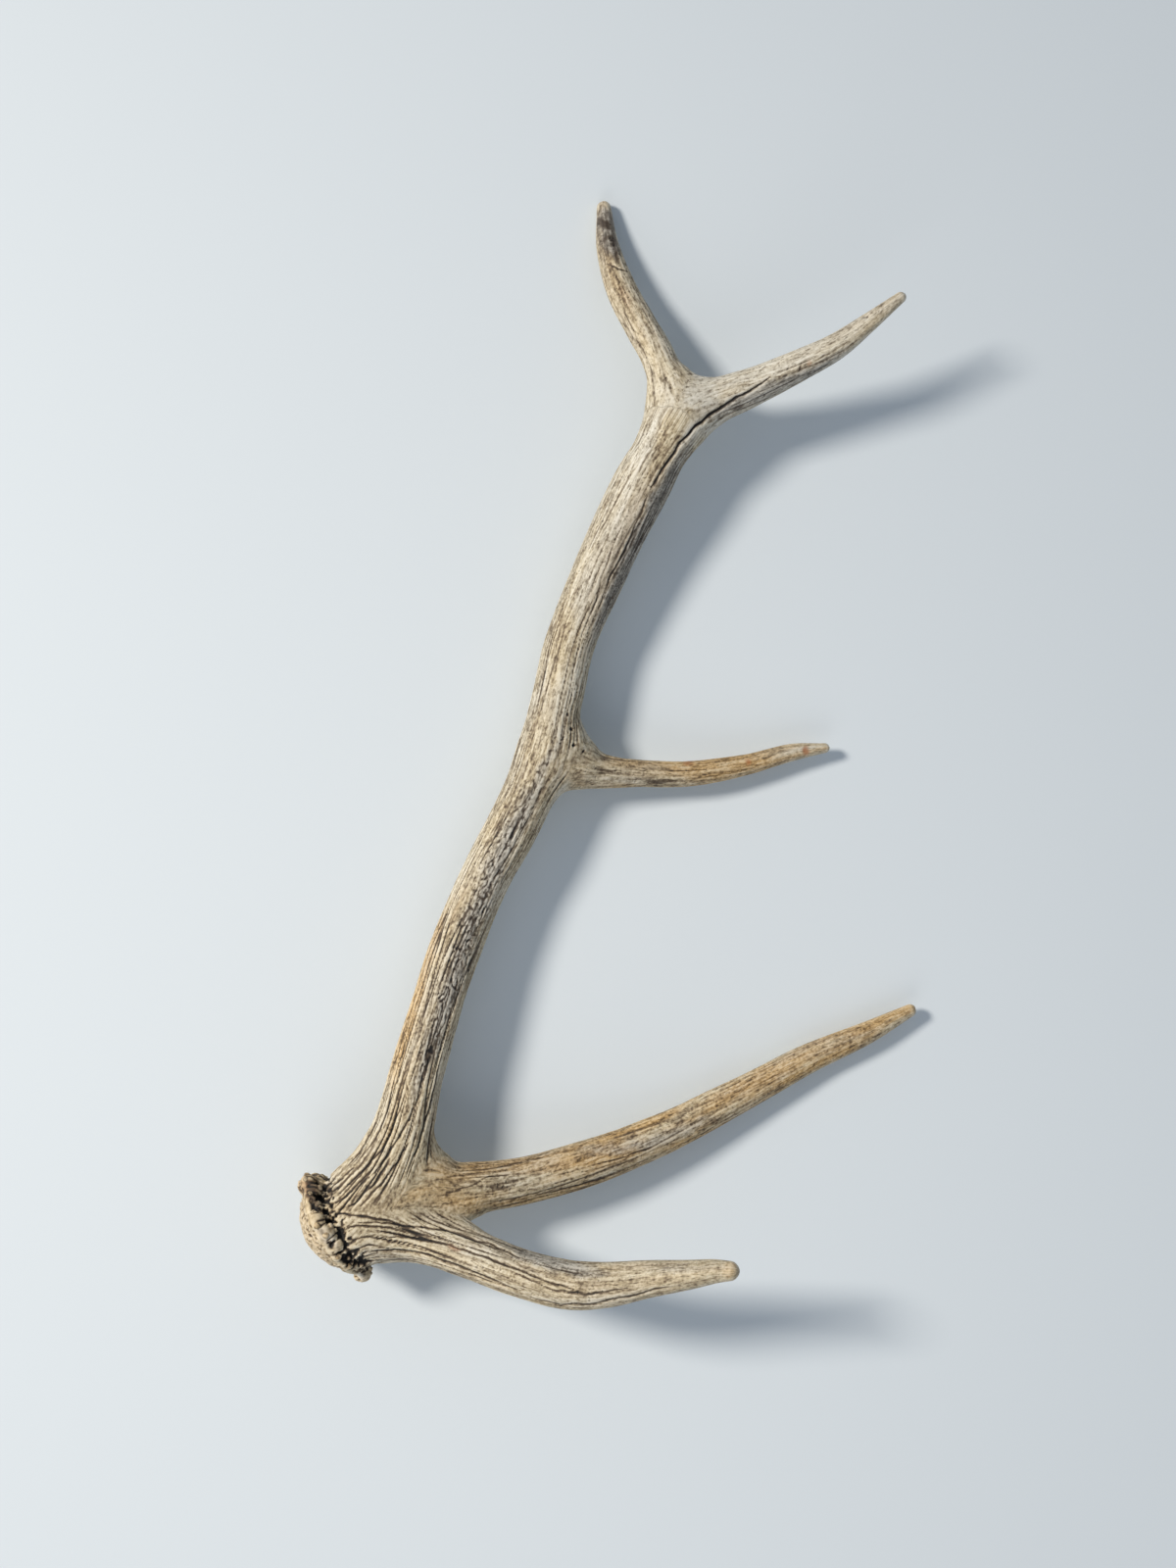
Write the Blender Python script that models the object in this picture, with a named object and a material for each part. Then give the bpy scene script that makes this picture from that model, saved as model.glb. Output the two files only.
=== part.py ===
"""A five-point shed antler, lying on its outer side, split into its main branches at the forks.

Metres, +Z up. The antler lies along Y with its burr towards -Y and its crown towards +Y. The tines
reach towards +X. It rests on the burr's rim, the bez tine and the tip of the back crown tine, and the
origin is the middle of the footprint of its bounding box, on the floor.
"""

import math

import bmesh
import bpy
from mathutils import Matrix, Vector

MM = 0.001

# Driving sizes, in millimetres.
BURR_RADIUS = 45.5
BURR_RIM_HEIGHT = 12.0
BURR_RIM_ROUNDING = 3.0
SEAL_RADIUS = 37.0
SEAL_BULGE = 19.0
SKIN_STEP = 3.0
SKIN_SMOOTHING_PASSES = 4
FACES_KEPT = 0.085
KERF = 0.3

CURVE_STEPS = 6
BEVEL_STEPS = 4
BURR_STEPS = 40
SEAL_STEPS = 4
DOUBLES_DISTANCE = 0.01
TIP_SUBDIVISIONS = 3
KERF_SEGMENTS = 32

# The burr's middle, and the way the antler grows out of it.
BURR_MIDDLE = Vector((-224, -370, 45))
GROWTH = Vector((0.85, 0.50, 0.32)).normalized()

# Each branch's centre line from root to tip: x, y, height above the floor, and radius, in millimetres.
CENTRE_LINES = {
    "base": (
        (-218, -372, 46, 33),
        (-202, -366, 48, 34),
        (-183, -360, 51, 32),
        (-163, -355, 52, 28),
    ),
    "beam": (
        (-202, -350, 47, 26),
        (-187, -327, 48, 26),
        (-174, -297, 47, 23),
        (-163, -256, 44, 21),
        (-149, -209, 42, 20.5),
        (-133, -161, 39, 20.5),
        (-111, -110, 37, 20),
        (-89, -70, 36, 21),
        (-66, -20, 34, 21),
        (-52, 31, 32, 20.5),
        (-41, 78, 32, 20),
        (-23, 122, 34, 21.5),
        (-4, 164, 37, 22.5),
        (17, 207, 43, 24),
        (37, 242, 50, 26),
    ),
    "brow": (
        (-190, -372, 54, 24),
        (-161, -379, 65, 20),
        (-126, -390, 77, 19),
        (-89, -403, 89, 18),
        (-55, -411, 98, 18.5),
        (-25, -410, 108, 17),
        (3, -405, 118, 14),
        (34, -400, 130, 11),
        (57, -395, 139, 8.5),
        (65, -396, 143, 6),
    ),
    "bez": (
        (-163, -347, 49, 25),
        (-129, -348, 44, 21),
        (-82, -343, 37, 18.5),
        (-22, -330, 29, 18),
        (38, -310, 21, 16),
        (95, -285, 15, 14),
        (153, -257, 12, 12),
        (202, -237, 12, 9.5),
        (241, -218, 13, 5),
    ),
    "trez": (
        (-55, -15, 33, 21),
        (-27, -22, 30, 17),
        (5, -25, 27, 12),
        (54, -26, 21, 10.5),
        (102, -19, 17, 8.5),
        (139, -9, 15, 7.5),
        (169, -5, 14, 4),
    ),
    "crown_back": (
        (39, 253, 51, 26),
        (29, 296, 40, 14),
        (15, 326, 32, 13),
        (1, 357, 22, 12),
        (-8, 390, 14, 9.5),
        (-10, 423, 5.5, 6),
    ),
    "crown_front": (
        (43, 253, 51, 26),
        (75, 267, 56, 20),
        (105, 279, 64, 14.5),
        (133, 292, 73, 12.5),
        (160, 306, 82, 10.5),
        (184, 324, 90, 7.5),
        (206, 342, 98, 4.5),
    ),
}

# Where one branch is parted from the next: a point on its centre line, the way it runs there, and the
# radius of the disc that parts it.
FORK_CUTS = {
    "brow": (Vector((-135, -387, 74)), Vector((70, -22, 24)), 32),
    "bez": (Vector((-118, -347, 42)), Vector((47, 1, -7)), 29),
    "beam_base": (Vector((-169, -279, 46)), Vector((11, 41, -3)), 34),
    "beam_middle": (Vector((-89, -70, 36)), Vector((45, 90, -3)), 34),
    "trez": (Vector((5, -25, 27)), Vector((40, -2, -5)), 20),
    "crown_back": (Vector((24, 306, 37)), Vector((-14, 30, -8)), 26),
    "crown_front": (Vector((90, 273, 60)), Vector((30, 12, 8)), 28),
}

# Each piece: a point inside it that tells it from the others, its colour and its roughness.
PIECES = {
    "burr_and_base": (Vector((-183, -360, 51)), (0.42, 0.34, 0.24), 0.75),
    "brow_tine": (Vector((-25, -410, 108)), (0.50, 0.42, 0.30), 0.62),
    "bez_tine": (Vector((38, -310, 21)), (0.48, 0.39, 0.26), 0.62),
    "lower_beam": (Vector((-149, -209, 42)), (0.47, 0.40, 0.30), 0.70),
    "upper_beam": (Vector((-23, 122, 34)), (0.52, 0.47, 0.38), 0.66),
    "trez_tine": (Vector((102, -19, 17)), (0.54, 0.46, 0.33), 0.60),
    "crown_back_tine": (Vector((1, 357, 22)), (0.50, 0.43, 0.34), 0.62),
    "crown_front_tine": (Vector((133, 292, 73)), (0.55, 0.51, 0.42), 0.58),
}


def clear_scene():
    for stale in list(bpy.data.objects):
        bpy.data.objects.remove(stale, do_unlink=True)


def add_object(name, data):
    made = bpy.data.objects.new(name, data)
    bpy.context.scene.collection.objects.link(made)
    return made


def evaluated_mesh(source):
    """The object's mesh with its curve bevel and modifiers applied."""
    bpy.context.view_layer.update()
    graph = bpy.context.evaluated_depsgraph_get()
    return bpy.data.meshes.new_from_object(source.evaluated_get(graph), depsgraph=graph)


def add_branch(blank, name, stations):
    """Adds to the blank one round branch through the stations, with a ball on its last one."""
    curve = bpy.data.curves.new(name, "CURVE")
    curve.dimensions = "3D"
    curve.bevel_depth = MM
    curve.bevel_resolution = BEVEL_STEPS
    curve.resolution_u = CURVE_STEPS
    curve.use_fill_caps = True
    spline = curve.splines.new("BEZIER")
    spline.bezier_points.add(len(stations) - 1)
    for point, (x, y, height, radius) in zip(spline.bezier_points, stations):
        point.co = Vector((x, y, height)) * MM
        point.radius = radius
        point.handle_left_type = "AUTO"
        point.handle_right_type = "AUTO"
    rod = add_object(name, curve)
    mesh = evaluated_mesh(rod)
    blank.from_mesh(mesh)
    bpy.data.objects.remove(rod, do_unlink=True)
    bpy.data.curves.remove(curve)
    bpy.data.meshes.remove(mesh)
    for x, y, height, radius in (stations[0], stations[-1]):
        bmesh.ops.create_icosphere(
            blank,
            subdivisions=TIP_SUBDIVISIONS,
            radius=radius * MM,
            matrix=Matrix.Translation(Vector((x, y, height)) * MM),
        )


def turn_to(middle, direction):
    """The matrix that puts the origin at a point and local +Z along a direction."""
    return Matrix.Translation(middle * MM) @ direction.to_track_quat("Z", "Y").to_matrix().to_4x4()


def add_burr(blank):
    """Adds the burr's rim and the domed seal under it, spun about the way the antler grows."""
    half = BURR_RIM_HEIGHT / 2
    angles = [step / SEAL_STEPS * math.pi / 2 for step in range(SEAL_STEPS + 1)]
    seal = [(SEAL_RADIUS * math.sin(angle), -half - SEAL_BULGE * math.cos(angle)) for angle in angles]
    rim = [
        (BURR_RADIUS - BURR_RIM_ROUNDING, -half),
        (BURR_RADIUS, 0.0),
        (BURR_RADIUS - BURR_RIM_ROUNDING, half),
        (0.0, half),
    ]
    profile = seal + rim
    lathe = bmesh.new()
    corners = [lathe.verts.new((radius * MM, 0.0, height * MM)) for radius, height in profile]
    edges = [lathe.edges.new(pair) for pair in zip(corners, corners[1:])]
    bmesh.ops.spin(
        lathe,
        geom=corners + edges,
        cent=(0.0, 0.0, 0.0),
        axis=(0.0, 0.0, 1.0),
        angle=math.tau,
        steps=BURR_STEPS,
    )
    bmesh.ops.remove_doubles(lathe, verts=lathe.verts, dist=DOUBLES_DISTANCE * MM)
    bmesh.ops.recalc_face_normals(lathe, faces=lathe.faces)
    bmesh.ops.transform(lathe, matrix=turn_to(BURR_MIDDLE, GROWTH), verts=lathe.verts)
    mesh = bpy.data.meshes.new("burr")
    lathe.to_mesh(mesh)
    lathe.free()
    blank.from_mesh(mesh)
    bpy.data.meshes.remove(mesh)


def grow_blank():
    """The whole antler as one skin: branches joined, webs smoothed into the forks, faces thinned."""
    blank = bmesh.new()
    for name, stations in CENTRE_LINES.items():
        add_branch(blank, name, stations)
    add_burr(blank)
    mesh = bpy.data.meshes.new("antler_blank")
    blank.to_mesh(mesh)
    blank.free()
    antler = add_object("antler_blank", mesh)

    skin = antler.modifiers.new("one_skin", "REMESH")
    skin.mode = "VOXEL"
    skin.voxel_size = SKIN_STEP * MM
    webs = antler.modifiers.new("webs", "SMOOTH")
    webs.iterations = SKIN_SMOOTHING_PASSES
    thin = antler.modifiers.new("fewer_faces", "DECIMATE")
    thin.ratio = FACES_KEPT
    thin.use_collapse_triangulate = True
    return antler


def make_kerfs():
    """Thin discs across the forks: what they take away parts the branches."""
    discs = bmesh.new()
    for point, direction, radius in FORK_CUTS.values():
        bmesh.ops.create_cone(
            discs,
            cap_ends=True,
            cap_tris=False,
            segments=KERF_SEGMENTS,
            radius1=radius * MM,
            radius2=radius * MM,
            depth=KERF * MM,
            matrix=turn_to(point, direction),
        )
    mesh = bpy.data.meshes.new("fork_kerfs")
    discs.to_mesh(mesh)
    discs.free()
    kerfs = add_object("fork_kerfs", mesh)
    kerfs.hide_render = True
    kerfs.display_type = "WIRE"
    return kerfs


def loose_part_with(mesh, marker):
    """A bmesh of the one loose part of the mesh that has the vertex nearest to the marker."""
    part = bmesh.new()
    part.from_mesh(mesh)
    first = min(part.verts, key=lambda vert: (vert.co - marker).length_squared)
    found = {first}
    frontier = [first]
    while frontier:
        for edge in frontier.pop().link_edges:
            for vert in edge.verts:
                if vert not in found:
                    found.add(vert)
                    frontier.append(vert)
    others = [vert for vert in part.verts if vert not in found]
    bmesh.ops.delete(part, geom=others, context="VERTS")
    return part


def bone_finish(name, colour, roughness):
    finish = bpy.data.materials.new(name + "_bone")
    finish.use_nodes = True
    shader = finish.node_tree.nodes["Principled BSDF"]
    shader.inputs["Base Color"].default_value = (*colour, 1.0)
    shader.inputs["Roughness"].default_value = roughness
    shader.inputs["Metallic"].default_value = 0.0
    return finish


def place_on_floor(meshes):
    """Moves all the pieces together, so that the middle of their footprint is the origin."""
    points = [vert.co for mesh in meshes for vert in mesh.vertices]
    low = Vector([min(point[axis] for point in points) for axis in range(3)])
    high = Vector([max(point[axis] for point in points) for axis in range(3)])
    shift = Vector(((low.x + high.x) / -2, (low.y + high.y) / -2, -low.z))
    for mesh in meshes:
        mesh.transform(Matrix.Translation(shift))


def main():
    clear_scene()
    antler = grow_blank()
    kerfs = make_kerfs()
    parting = antler.modifiers.new("part_at_forks", "BOOLEAN")
    parting.operation = "DIFFERENCE"
    parting.solver = "EXACT"
    parting.object = kerfs
    parted = evaluated_mesh(antler)

    meshes = []
    for name, (marker, colour, roughness) in PIECES.items():
        part = loose_part_with(parted, marker * MM)
        mesh = bpy.data.meshes.new(name)
        part.to_mesh(mesh)
        part.free()
        mesh.shade_smooth()
        mesh.materials.clear()
        mesh.materials.append(bone_finish(name, colour, roughness))
        add_object(name, mesh)
        meshes.append(mesh)
    place_on_floor(meshes)

    bpy.data.objects.remove(antler, do_unlink=True)
    bpy.data.objects.remove(kerfs, do_unlink=True)
    bpy.data.meshes.remove(parted)


main()
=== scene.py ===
"""The looks of a shed deer antler that lies on its outer side: one skin of weathered bone in eight pieces.

The bone's form is a smooth union of round branches and a burr. A fine mesh is settled onto that form,
its furrows, pearls, cracks and knobs are raised on it, and it is parted at the same forks as the CAD.
Lengths are millimetres until a mesh is made.
"""

import logging
import math
from dataclasses import dataclass, field
from enum import Enum
from itertools import product

import bpy
import numpy as np
from mathutils import Matrix, Vector


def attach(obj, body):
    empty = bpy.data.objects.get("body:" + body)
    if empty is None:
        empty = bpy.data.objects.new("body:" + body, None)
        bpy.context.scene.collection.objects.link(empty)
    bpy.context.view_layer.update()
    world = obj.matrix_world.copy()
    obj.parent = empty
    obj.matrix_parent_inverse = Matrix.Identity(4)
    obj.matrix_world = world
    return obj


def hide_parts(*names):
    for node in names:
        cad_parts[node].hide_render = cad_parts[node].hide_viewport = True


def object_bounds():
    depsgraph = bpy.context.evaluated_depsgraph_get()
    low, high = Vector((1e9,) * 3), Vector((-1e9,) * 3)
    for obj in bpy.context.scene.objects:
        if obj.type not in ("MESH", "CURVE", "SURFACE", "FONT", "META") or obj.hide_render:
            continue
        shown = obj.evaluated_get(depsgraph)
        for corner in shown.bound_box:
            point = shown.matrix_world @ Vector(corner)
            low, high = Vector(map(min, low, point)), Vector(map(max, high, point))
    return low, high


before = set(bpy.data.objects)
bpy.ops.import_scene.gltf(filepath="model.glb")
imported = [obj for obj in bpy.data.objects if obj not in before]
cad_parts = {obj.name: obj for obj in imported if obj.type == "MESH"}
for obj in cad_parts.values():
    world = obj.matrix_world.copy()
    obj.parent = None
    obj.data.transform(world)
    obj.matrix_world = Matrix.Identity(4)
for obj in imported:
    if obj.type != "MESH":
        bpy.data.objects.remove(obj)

MM = 0.001
CAD_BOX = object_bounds()
FAR = 1000.0
FINE_STEP = 0.95
UP = np.array([0.0, 0.0, 1.0])

Array = np.ndarray
Station = tuple[float, float, float, float]
Spot = tuple[float, float]

log = logging.getLogger("antler")


def linear(hex_colour: str, alpha: float = 1.0) -> tuple[float, float, float, float]:
    """Turns an sRGB hex colour into a linear one.

    Args:
        hex_colour: Six hex digits, with or without a leading #.
        alpha: The opacity to go with it.

    Returns:
        Linear red, green and blue, and alpha.
    """
    digits = hex_colour.lstrip("#")
    parts = []
    for start in (0, 2, 4):
        level = int(digits[start : start + 2], 16) / 255
        parts.append(level / 12.92 if level <= 0.04045 else ((level + 0.055) / 1.055) ** 2.4)
    return parts[0], parts[1], parts[2], alpha


def ease(values: Array, low: float, high: float) -> Array:
    """A smooth step from 0 at low to 1 at high.

    Args:
        values: Any numbers.
        low: Where the step starts.
        high: Where it ends, which may be below low for a falling step.

    Returns:
        The step's height at each value.
    """
    part = np.clip((values - low) / (high - low), 0.0, 1.0)
    return part * part * (3 - 2 * part)


def bell(values: Array, width: float | Array) -> Array:
    """1 where the values are nought, falling off on both sides over about the width."""
    return np.exp(-((values / width) ** 2))


def unit(vectors: Array) -> Array:
    """The vectors at length one, with the shortest left as they are."""
    length = np.linalg.norm(vectors, axis=-1, keepdims=True)
    return vectors / np.maximum(length, 1e-9)


@dataclass
class Noise:
    """Seeded gradient noise in three dimensions, from about -1 to 1.

    Args:
        seed: Picks the pattern.
    """

    seed: int
    order: Array = field(init=False)
    slopes: Array = field(init=False)

    PERIOD = 256
    SWING = 1.7

    def __post_init__(self) -> None:
        """Shuffles the lattice and gives each of its points a slope."""
        dice = np.random.default_rng(self.seed)
        self.order = dice.permutation(self.PERIOD)
        self.slopes = unit(dice.normal(size=(self.PERIOD, 3)))

    def at(self, places: Array) -> Array:
        """The noise at each place.

        Args:
            places: Points in lattice units.

        Returns:
            One value for each point.
        """
        cell = np.floor(places).astype(np.int64)
        part = places - cell
        smooth = part**3 * (part * (part * 6 - 15) + 10)
        total = np.zeros(len(places))
        for corner in product((0, 1), repeat=3):
            lattice = (cell + corner) % self.PERIOD
            picked = self.order[(self.order[lattice[:, 0]] + lattice[:, 1]) % self.PERIOD]
            slope = self.slopes[self.order[(picked + lattice[:, 2]) % self.PERIOD]]
            share = np.prod(np.where(corner, smooth, 1 - smooth), axis=1)
            total += share * np.einsum("ij,ij->i", slope, part - corner)
        return total * self.SWING


@dataclass(frozen=True)
class Pattern:
    """Seeded noise that runs over the whole skin, whichever branch it is on.

    Args:
        seed: Picks the pattern.
        size: From one of its lumps to the next, in millimetres.
    """

    seed: int
    size: float

    def at(self, points: Array) -> Array:
        """The pattern's height at each point, from about -1 to 1."""
        return Noise(self.seed).at(points / self.size)


LUMPS = Pattern(51, 6.5)
CRUST = Pattern(52, 2.8)
HOLES = Pattern(53, 5.2)
FINE_HOLES = Pattern(56, 2.6)
PITS = Pattern(54, 2.5)
WIDE_PITS = Pattern(55, 4.6)
SPECKLE = Pattern(61, 2.1)
BLOTCH = Pattern(62, 5.5)
SWAY = (Pattern(71, 13), Pattern(72, 13))
SHAKE = (Pattern(73, 4), Pattern(74, 4))
BREAKS = Pattern(75, 7)
PEARL_SOIL = Pattern(91, 7)
PEARL_MOTTLE = Pattern(92, 9)


class Tint(Enum):
    """The tones and textures that growth and weather give the bone, and the shade painted into it, each an
    attribute of the skin.
    """

    # Grime, together with the shade painted into hollows, cracks and crevices.
    DIRT_AND_SHADE = "dirt_and_shade"
    GREY = "grey"
    OCHRE = "ochre"
    PALE = "pale"
    RUST = "rust"
    WORN = "worn"
    PEARLED = "pearled"
    STREAK = "streak"


@dataclass(frozen=True)
class Grain:
    """How the bone's surface runs along one branch, in millimetres, from its root to its tip.

    Args:
        girth: The radius at which the furrows have their spacing.
        spacing: From one main furrow to the next, around the branch.
        run: How far a furrow runs before it wanders off.
        furrows: Their depth at the root, in the middle and at the tip.
        tones: How much of a tone lies in patches at the root and at the tip.
        seed: Picks the pattern.
    """

    girth: float
    spacing: float
    run: float
    furrows: tuple[float, float, float]
    tones: dict[Tint, tuple[float, float]]
    seed: int

    def ring(self, turn: Array) -> Array:
        """Places around a circle of the grain's girth, for noise that closes on itself."""
        return np.stack([np.cos(turn), np.sin(turn)], axis=1) * self.girth


@dataclass(frozen=True)
class Weave:
    """One size of pattern that is drawn out along a branch, in millimetres.

    Args:
        across: Its width.
        run: Its length.
        shift: Where on the noise it is read, so that two sizes don't line up.
    """

    across: float
    run: float
    shift: float = 0.0

    def on(self, noise: Noise, ring: Array, along: Array) -> Array:
        """Reads the noise at this size.

        Args:
            noise: The branch's noise.
            ring: Places round the branch, as two columns.
            along: Distances along it.

        Returns:
            One value for each place.
        """
        return noise.at(np.column_stack([ring / self.across, along / self.run + self.shift]))


@dataclass
class Nearness:
    """What a branch measures at a set of points.

    Args:
        rows: Which of the asked points these are.
        gap: Distance outside the branch's surface, negative inside.
        away: The direction from the centre line to the point.
        along: Distance from the root along the centre line.
        turn: Angle around the centre line, 0 on top, growing towards its left as it lies.
        radius: The branch's radius there; not used.
    """

    rows: Array
    gap: Array
    away: Array
    along: Array
    turn: Array
    radius: Array


@dataclass
class Branch:
    """One round, tapering, curved branch of the antler.

    Args:
        name: What the branch is called.
        stations: x, y, height and radius of points on its centre line, from root to tip.
        grain: How its surface runs.
    """

    name: str
    stations: tuple[Station, ...]
    grain: Grain
    middle: Array = field(init=False)
    girth: Array = field(init=False)
    along: Array = field(init=False)
    heading: Array = field(init=False)

    STEPS = 10
    REACH = 32.0
    BLOCK = 60000
    SIDES = 28
    TIP_RINGS = (0.5, 0.85, 0.99)

    def __post_init__(self) -> None:
        """Reads a smooth curve through the stations."""
        knots = np.array(self.stations, float)
        ends = np.vstack([2 * knots[0] - knots[1], knots, 2 * knots[-1] - knots[-2]])
        share = np.linspace(0, 1, self.STEPS, endpoint=False)[:, None]
        runs = []
        for a, b, c, d in zip(ends, ends[1:], ends[2:], ends[3:]):
            bend = 2 * b + (c - a) * share + (2 * a - 5 * b + 4 * c - d) * share**2
            runs.append((bend + (3 * b - a - 3 * c + d) * share**3) / 2)
        curve = np.vstack([*runs, knots[-1:]])
        self.middle = curve[:, :3]
        self.girth = curve[:, 3]
        steps = np.linalg.norm(np.diff(self.middle, axis=0), axis=1)
        self.along = np.concatenate([[0.0], np.cumsum(steps)])
        self.heading = unit(np.gradient(self.middle, axis=0))

    @property
    def length(self) -> float:
        """The centre line's length."""
        return float(self.along[-1])

    def measure(self, points: Array) -> Nearness:
        """Finds the nearest place on the centre line for each point close to the branch.

        Args:
            points: Points in millimetres.

        Returns:
            The branch's measures at those points that it can reach.
        """
        reach = self.girth.max() + self.REACH
        low = self.middle.min(0) - reach
        high = self.middle.max(0) + reach
        rows = np.flatnonzero(np.all((points > low) & (points < high), axis=1))
        asked = points[rows]
        square = (self.middle**2).sum(1)
        nearest = np.empty(len(asked), int)
        for start in range(0, len(asked), self.BLOCK):
            block = asked[start : start + self.BLOCK]
            nearest[start : start + self.BLOCK] = np.argmin(square - 2 * block @ self.middle.T, axis=1)
        best = np.full(len(asked), np.inf)
        share = np.zeros(len(asked))
        first = np.zeros(len(asked), int)
        for offset in (-1, 0):
            start = np.clip(nearest + offset, 0, len(self.middle) - 2)
            step = self.middle[start + 1] - self.middle[start]
            part = np.einsum("ij,ij->i", asked - self.middle[start], step) / (step**2).sum(1)
            part = np.clip(part, 0, 1)
            gap = np.linalg.norm(asked - self.middle[start] - step * part[:, None], axis=1)
            closer = gap < best
            best[closer] = gap[closer]
            share[closer] = part[closer]
            first[closer] = start[closer]

        def between(values: Array) -> Array:
            """Reads a centre-line quantity at the nearest places."""
            mix = share if values.ndim == 1 else share[:, None]
            return values[first] * (1 - mix) + values[first + 1] * mix

        radius = between(self.girth)
        heading = unit(between(self.heading))
        offset = asked - between(self.middle)
        top = unit(UP - heading * heading[:, 2:])
        side = np.cross(heading, top)
        turn = np.arctan2((offset * side).sum(1), (offset * top).sum(1))
        return Nearness(rows, best - radius, unit(offset), between(self.along), turn, radius)

    def tube(self) -> tuple[Array, list[list[int]]]:
        """A plain closed tube of the branch, with a rounded tip, to start the mesh from.

        Returns:
            Its points and its faces.
        """
        sides = self.SIDES
        caps = np.array(self.TIP_RINGS)
        out = unit(self.middle[-1] - self.middle[-2])
        middle = np.vstack([self.middle, self.middle[-1] + out * (caps * self.girth[-1])[:, None]])
        girth = np.concatenate([self.girth, np.sqrt(1 - caps**2) * self.girth[-1]])
        heading = unit(np.gradient(middle, axis=0))
        top = unit(UP - heading * heading[:, 2:])
        side = np.cross(heading, top)
        angles = np.arange(sides) * 2 * math.pi / sides
        rings = (
            middle[:, None]
            + girth[:, None, None] * np.cos(angles)[None, :, None] * top[:, None]
            + girth[:, None, None] * np.sin(angles)[None, :, None] * side[:, None]
        )
        faces = []
        for ring in range(len(middle) - 1):
            for turn in range(sides):
                after = (turn + 1) % sides
                low = ring * sides
                faces.append([low + turn, low + after, low + sides + after, low + sides + turn])
        faces.append(list(range(sides))[::-1])
        faces.append([(len(middle) - 1) * sides + turn for turn in range(sides)])
        return rings.reshape(-1, 3), faces


def ball(centre: Array, radius: float, rings: int = 10) -> tuple[Array, list[list[int]]]:
    """A plain closed ball, to start the mesh from.

    Args:
        centre: Its middle.
        radius: Its radius.
        rings: Steps from pole to pole, with twice as many around.

    Returns:
        Its points and its faces.
    """
    sides = rings * 2
    points = [centre + UP * radius]
    for ring in range(1, rings):
        height = math.cos(math.pi * ring / rings) * radius
        width = math.sin(math.pi * ring / rings) * radius
        for turn in range(sides):
            angle = 2 * math.pi * turn / sides
            points.append(centre + np.array([math.cos(angle) * width, math.sin(angle) * width, height]))
    points.append(centre - UP * radius)
    faces = []
    last = len(points) - 1
    for turn in range(sides):
        after = (turn + 1) % sides
        faces.append([0, 1 + turn, 1 + after])
        faces.append([last, last - sides + after, last - sides + turn])
        for ring in range(rings - 2):
            low = 1 + ring * sides
            faces.append([low + turn, low + sides + turn, low + sides + after, low + after])
    return np.array(points), faces


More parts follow.
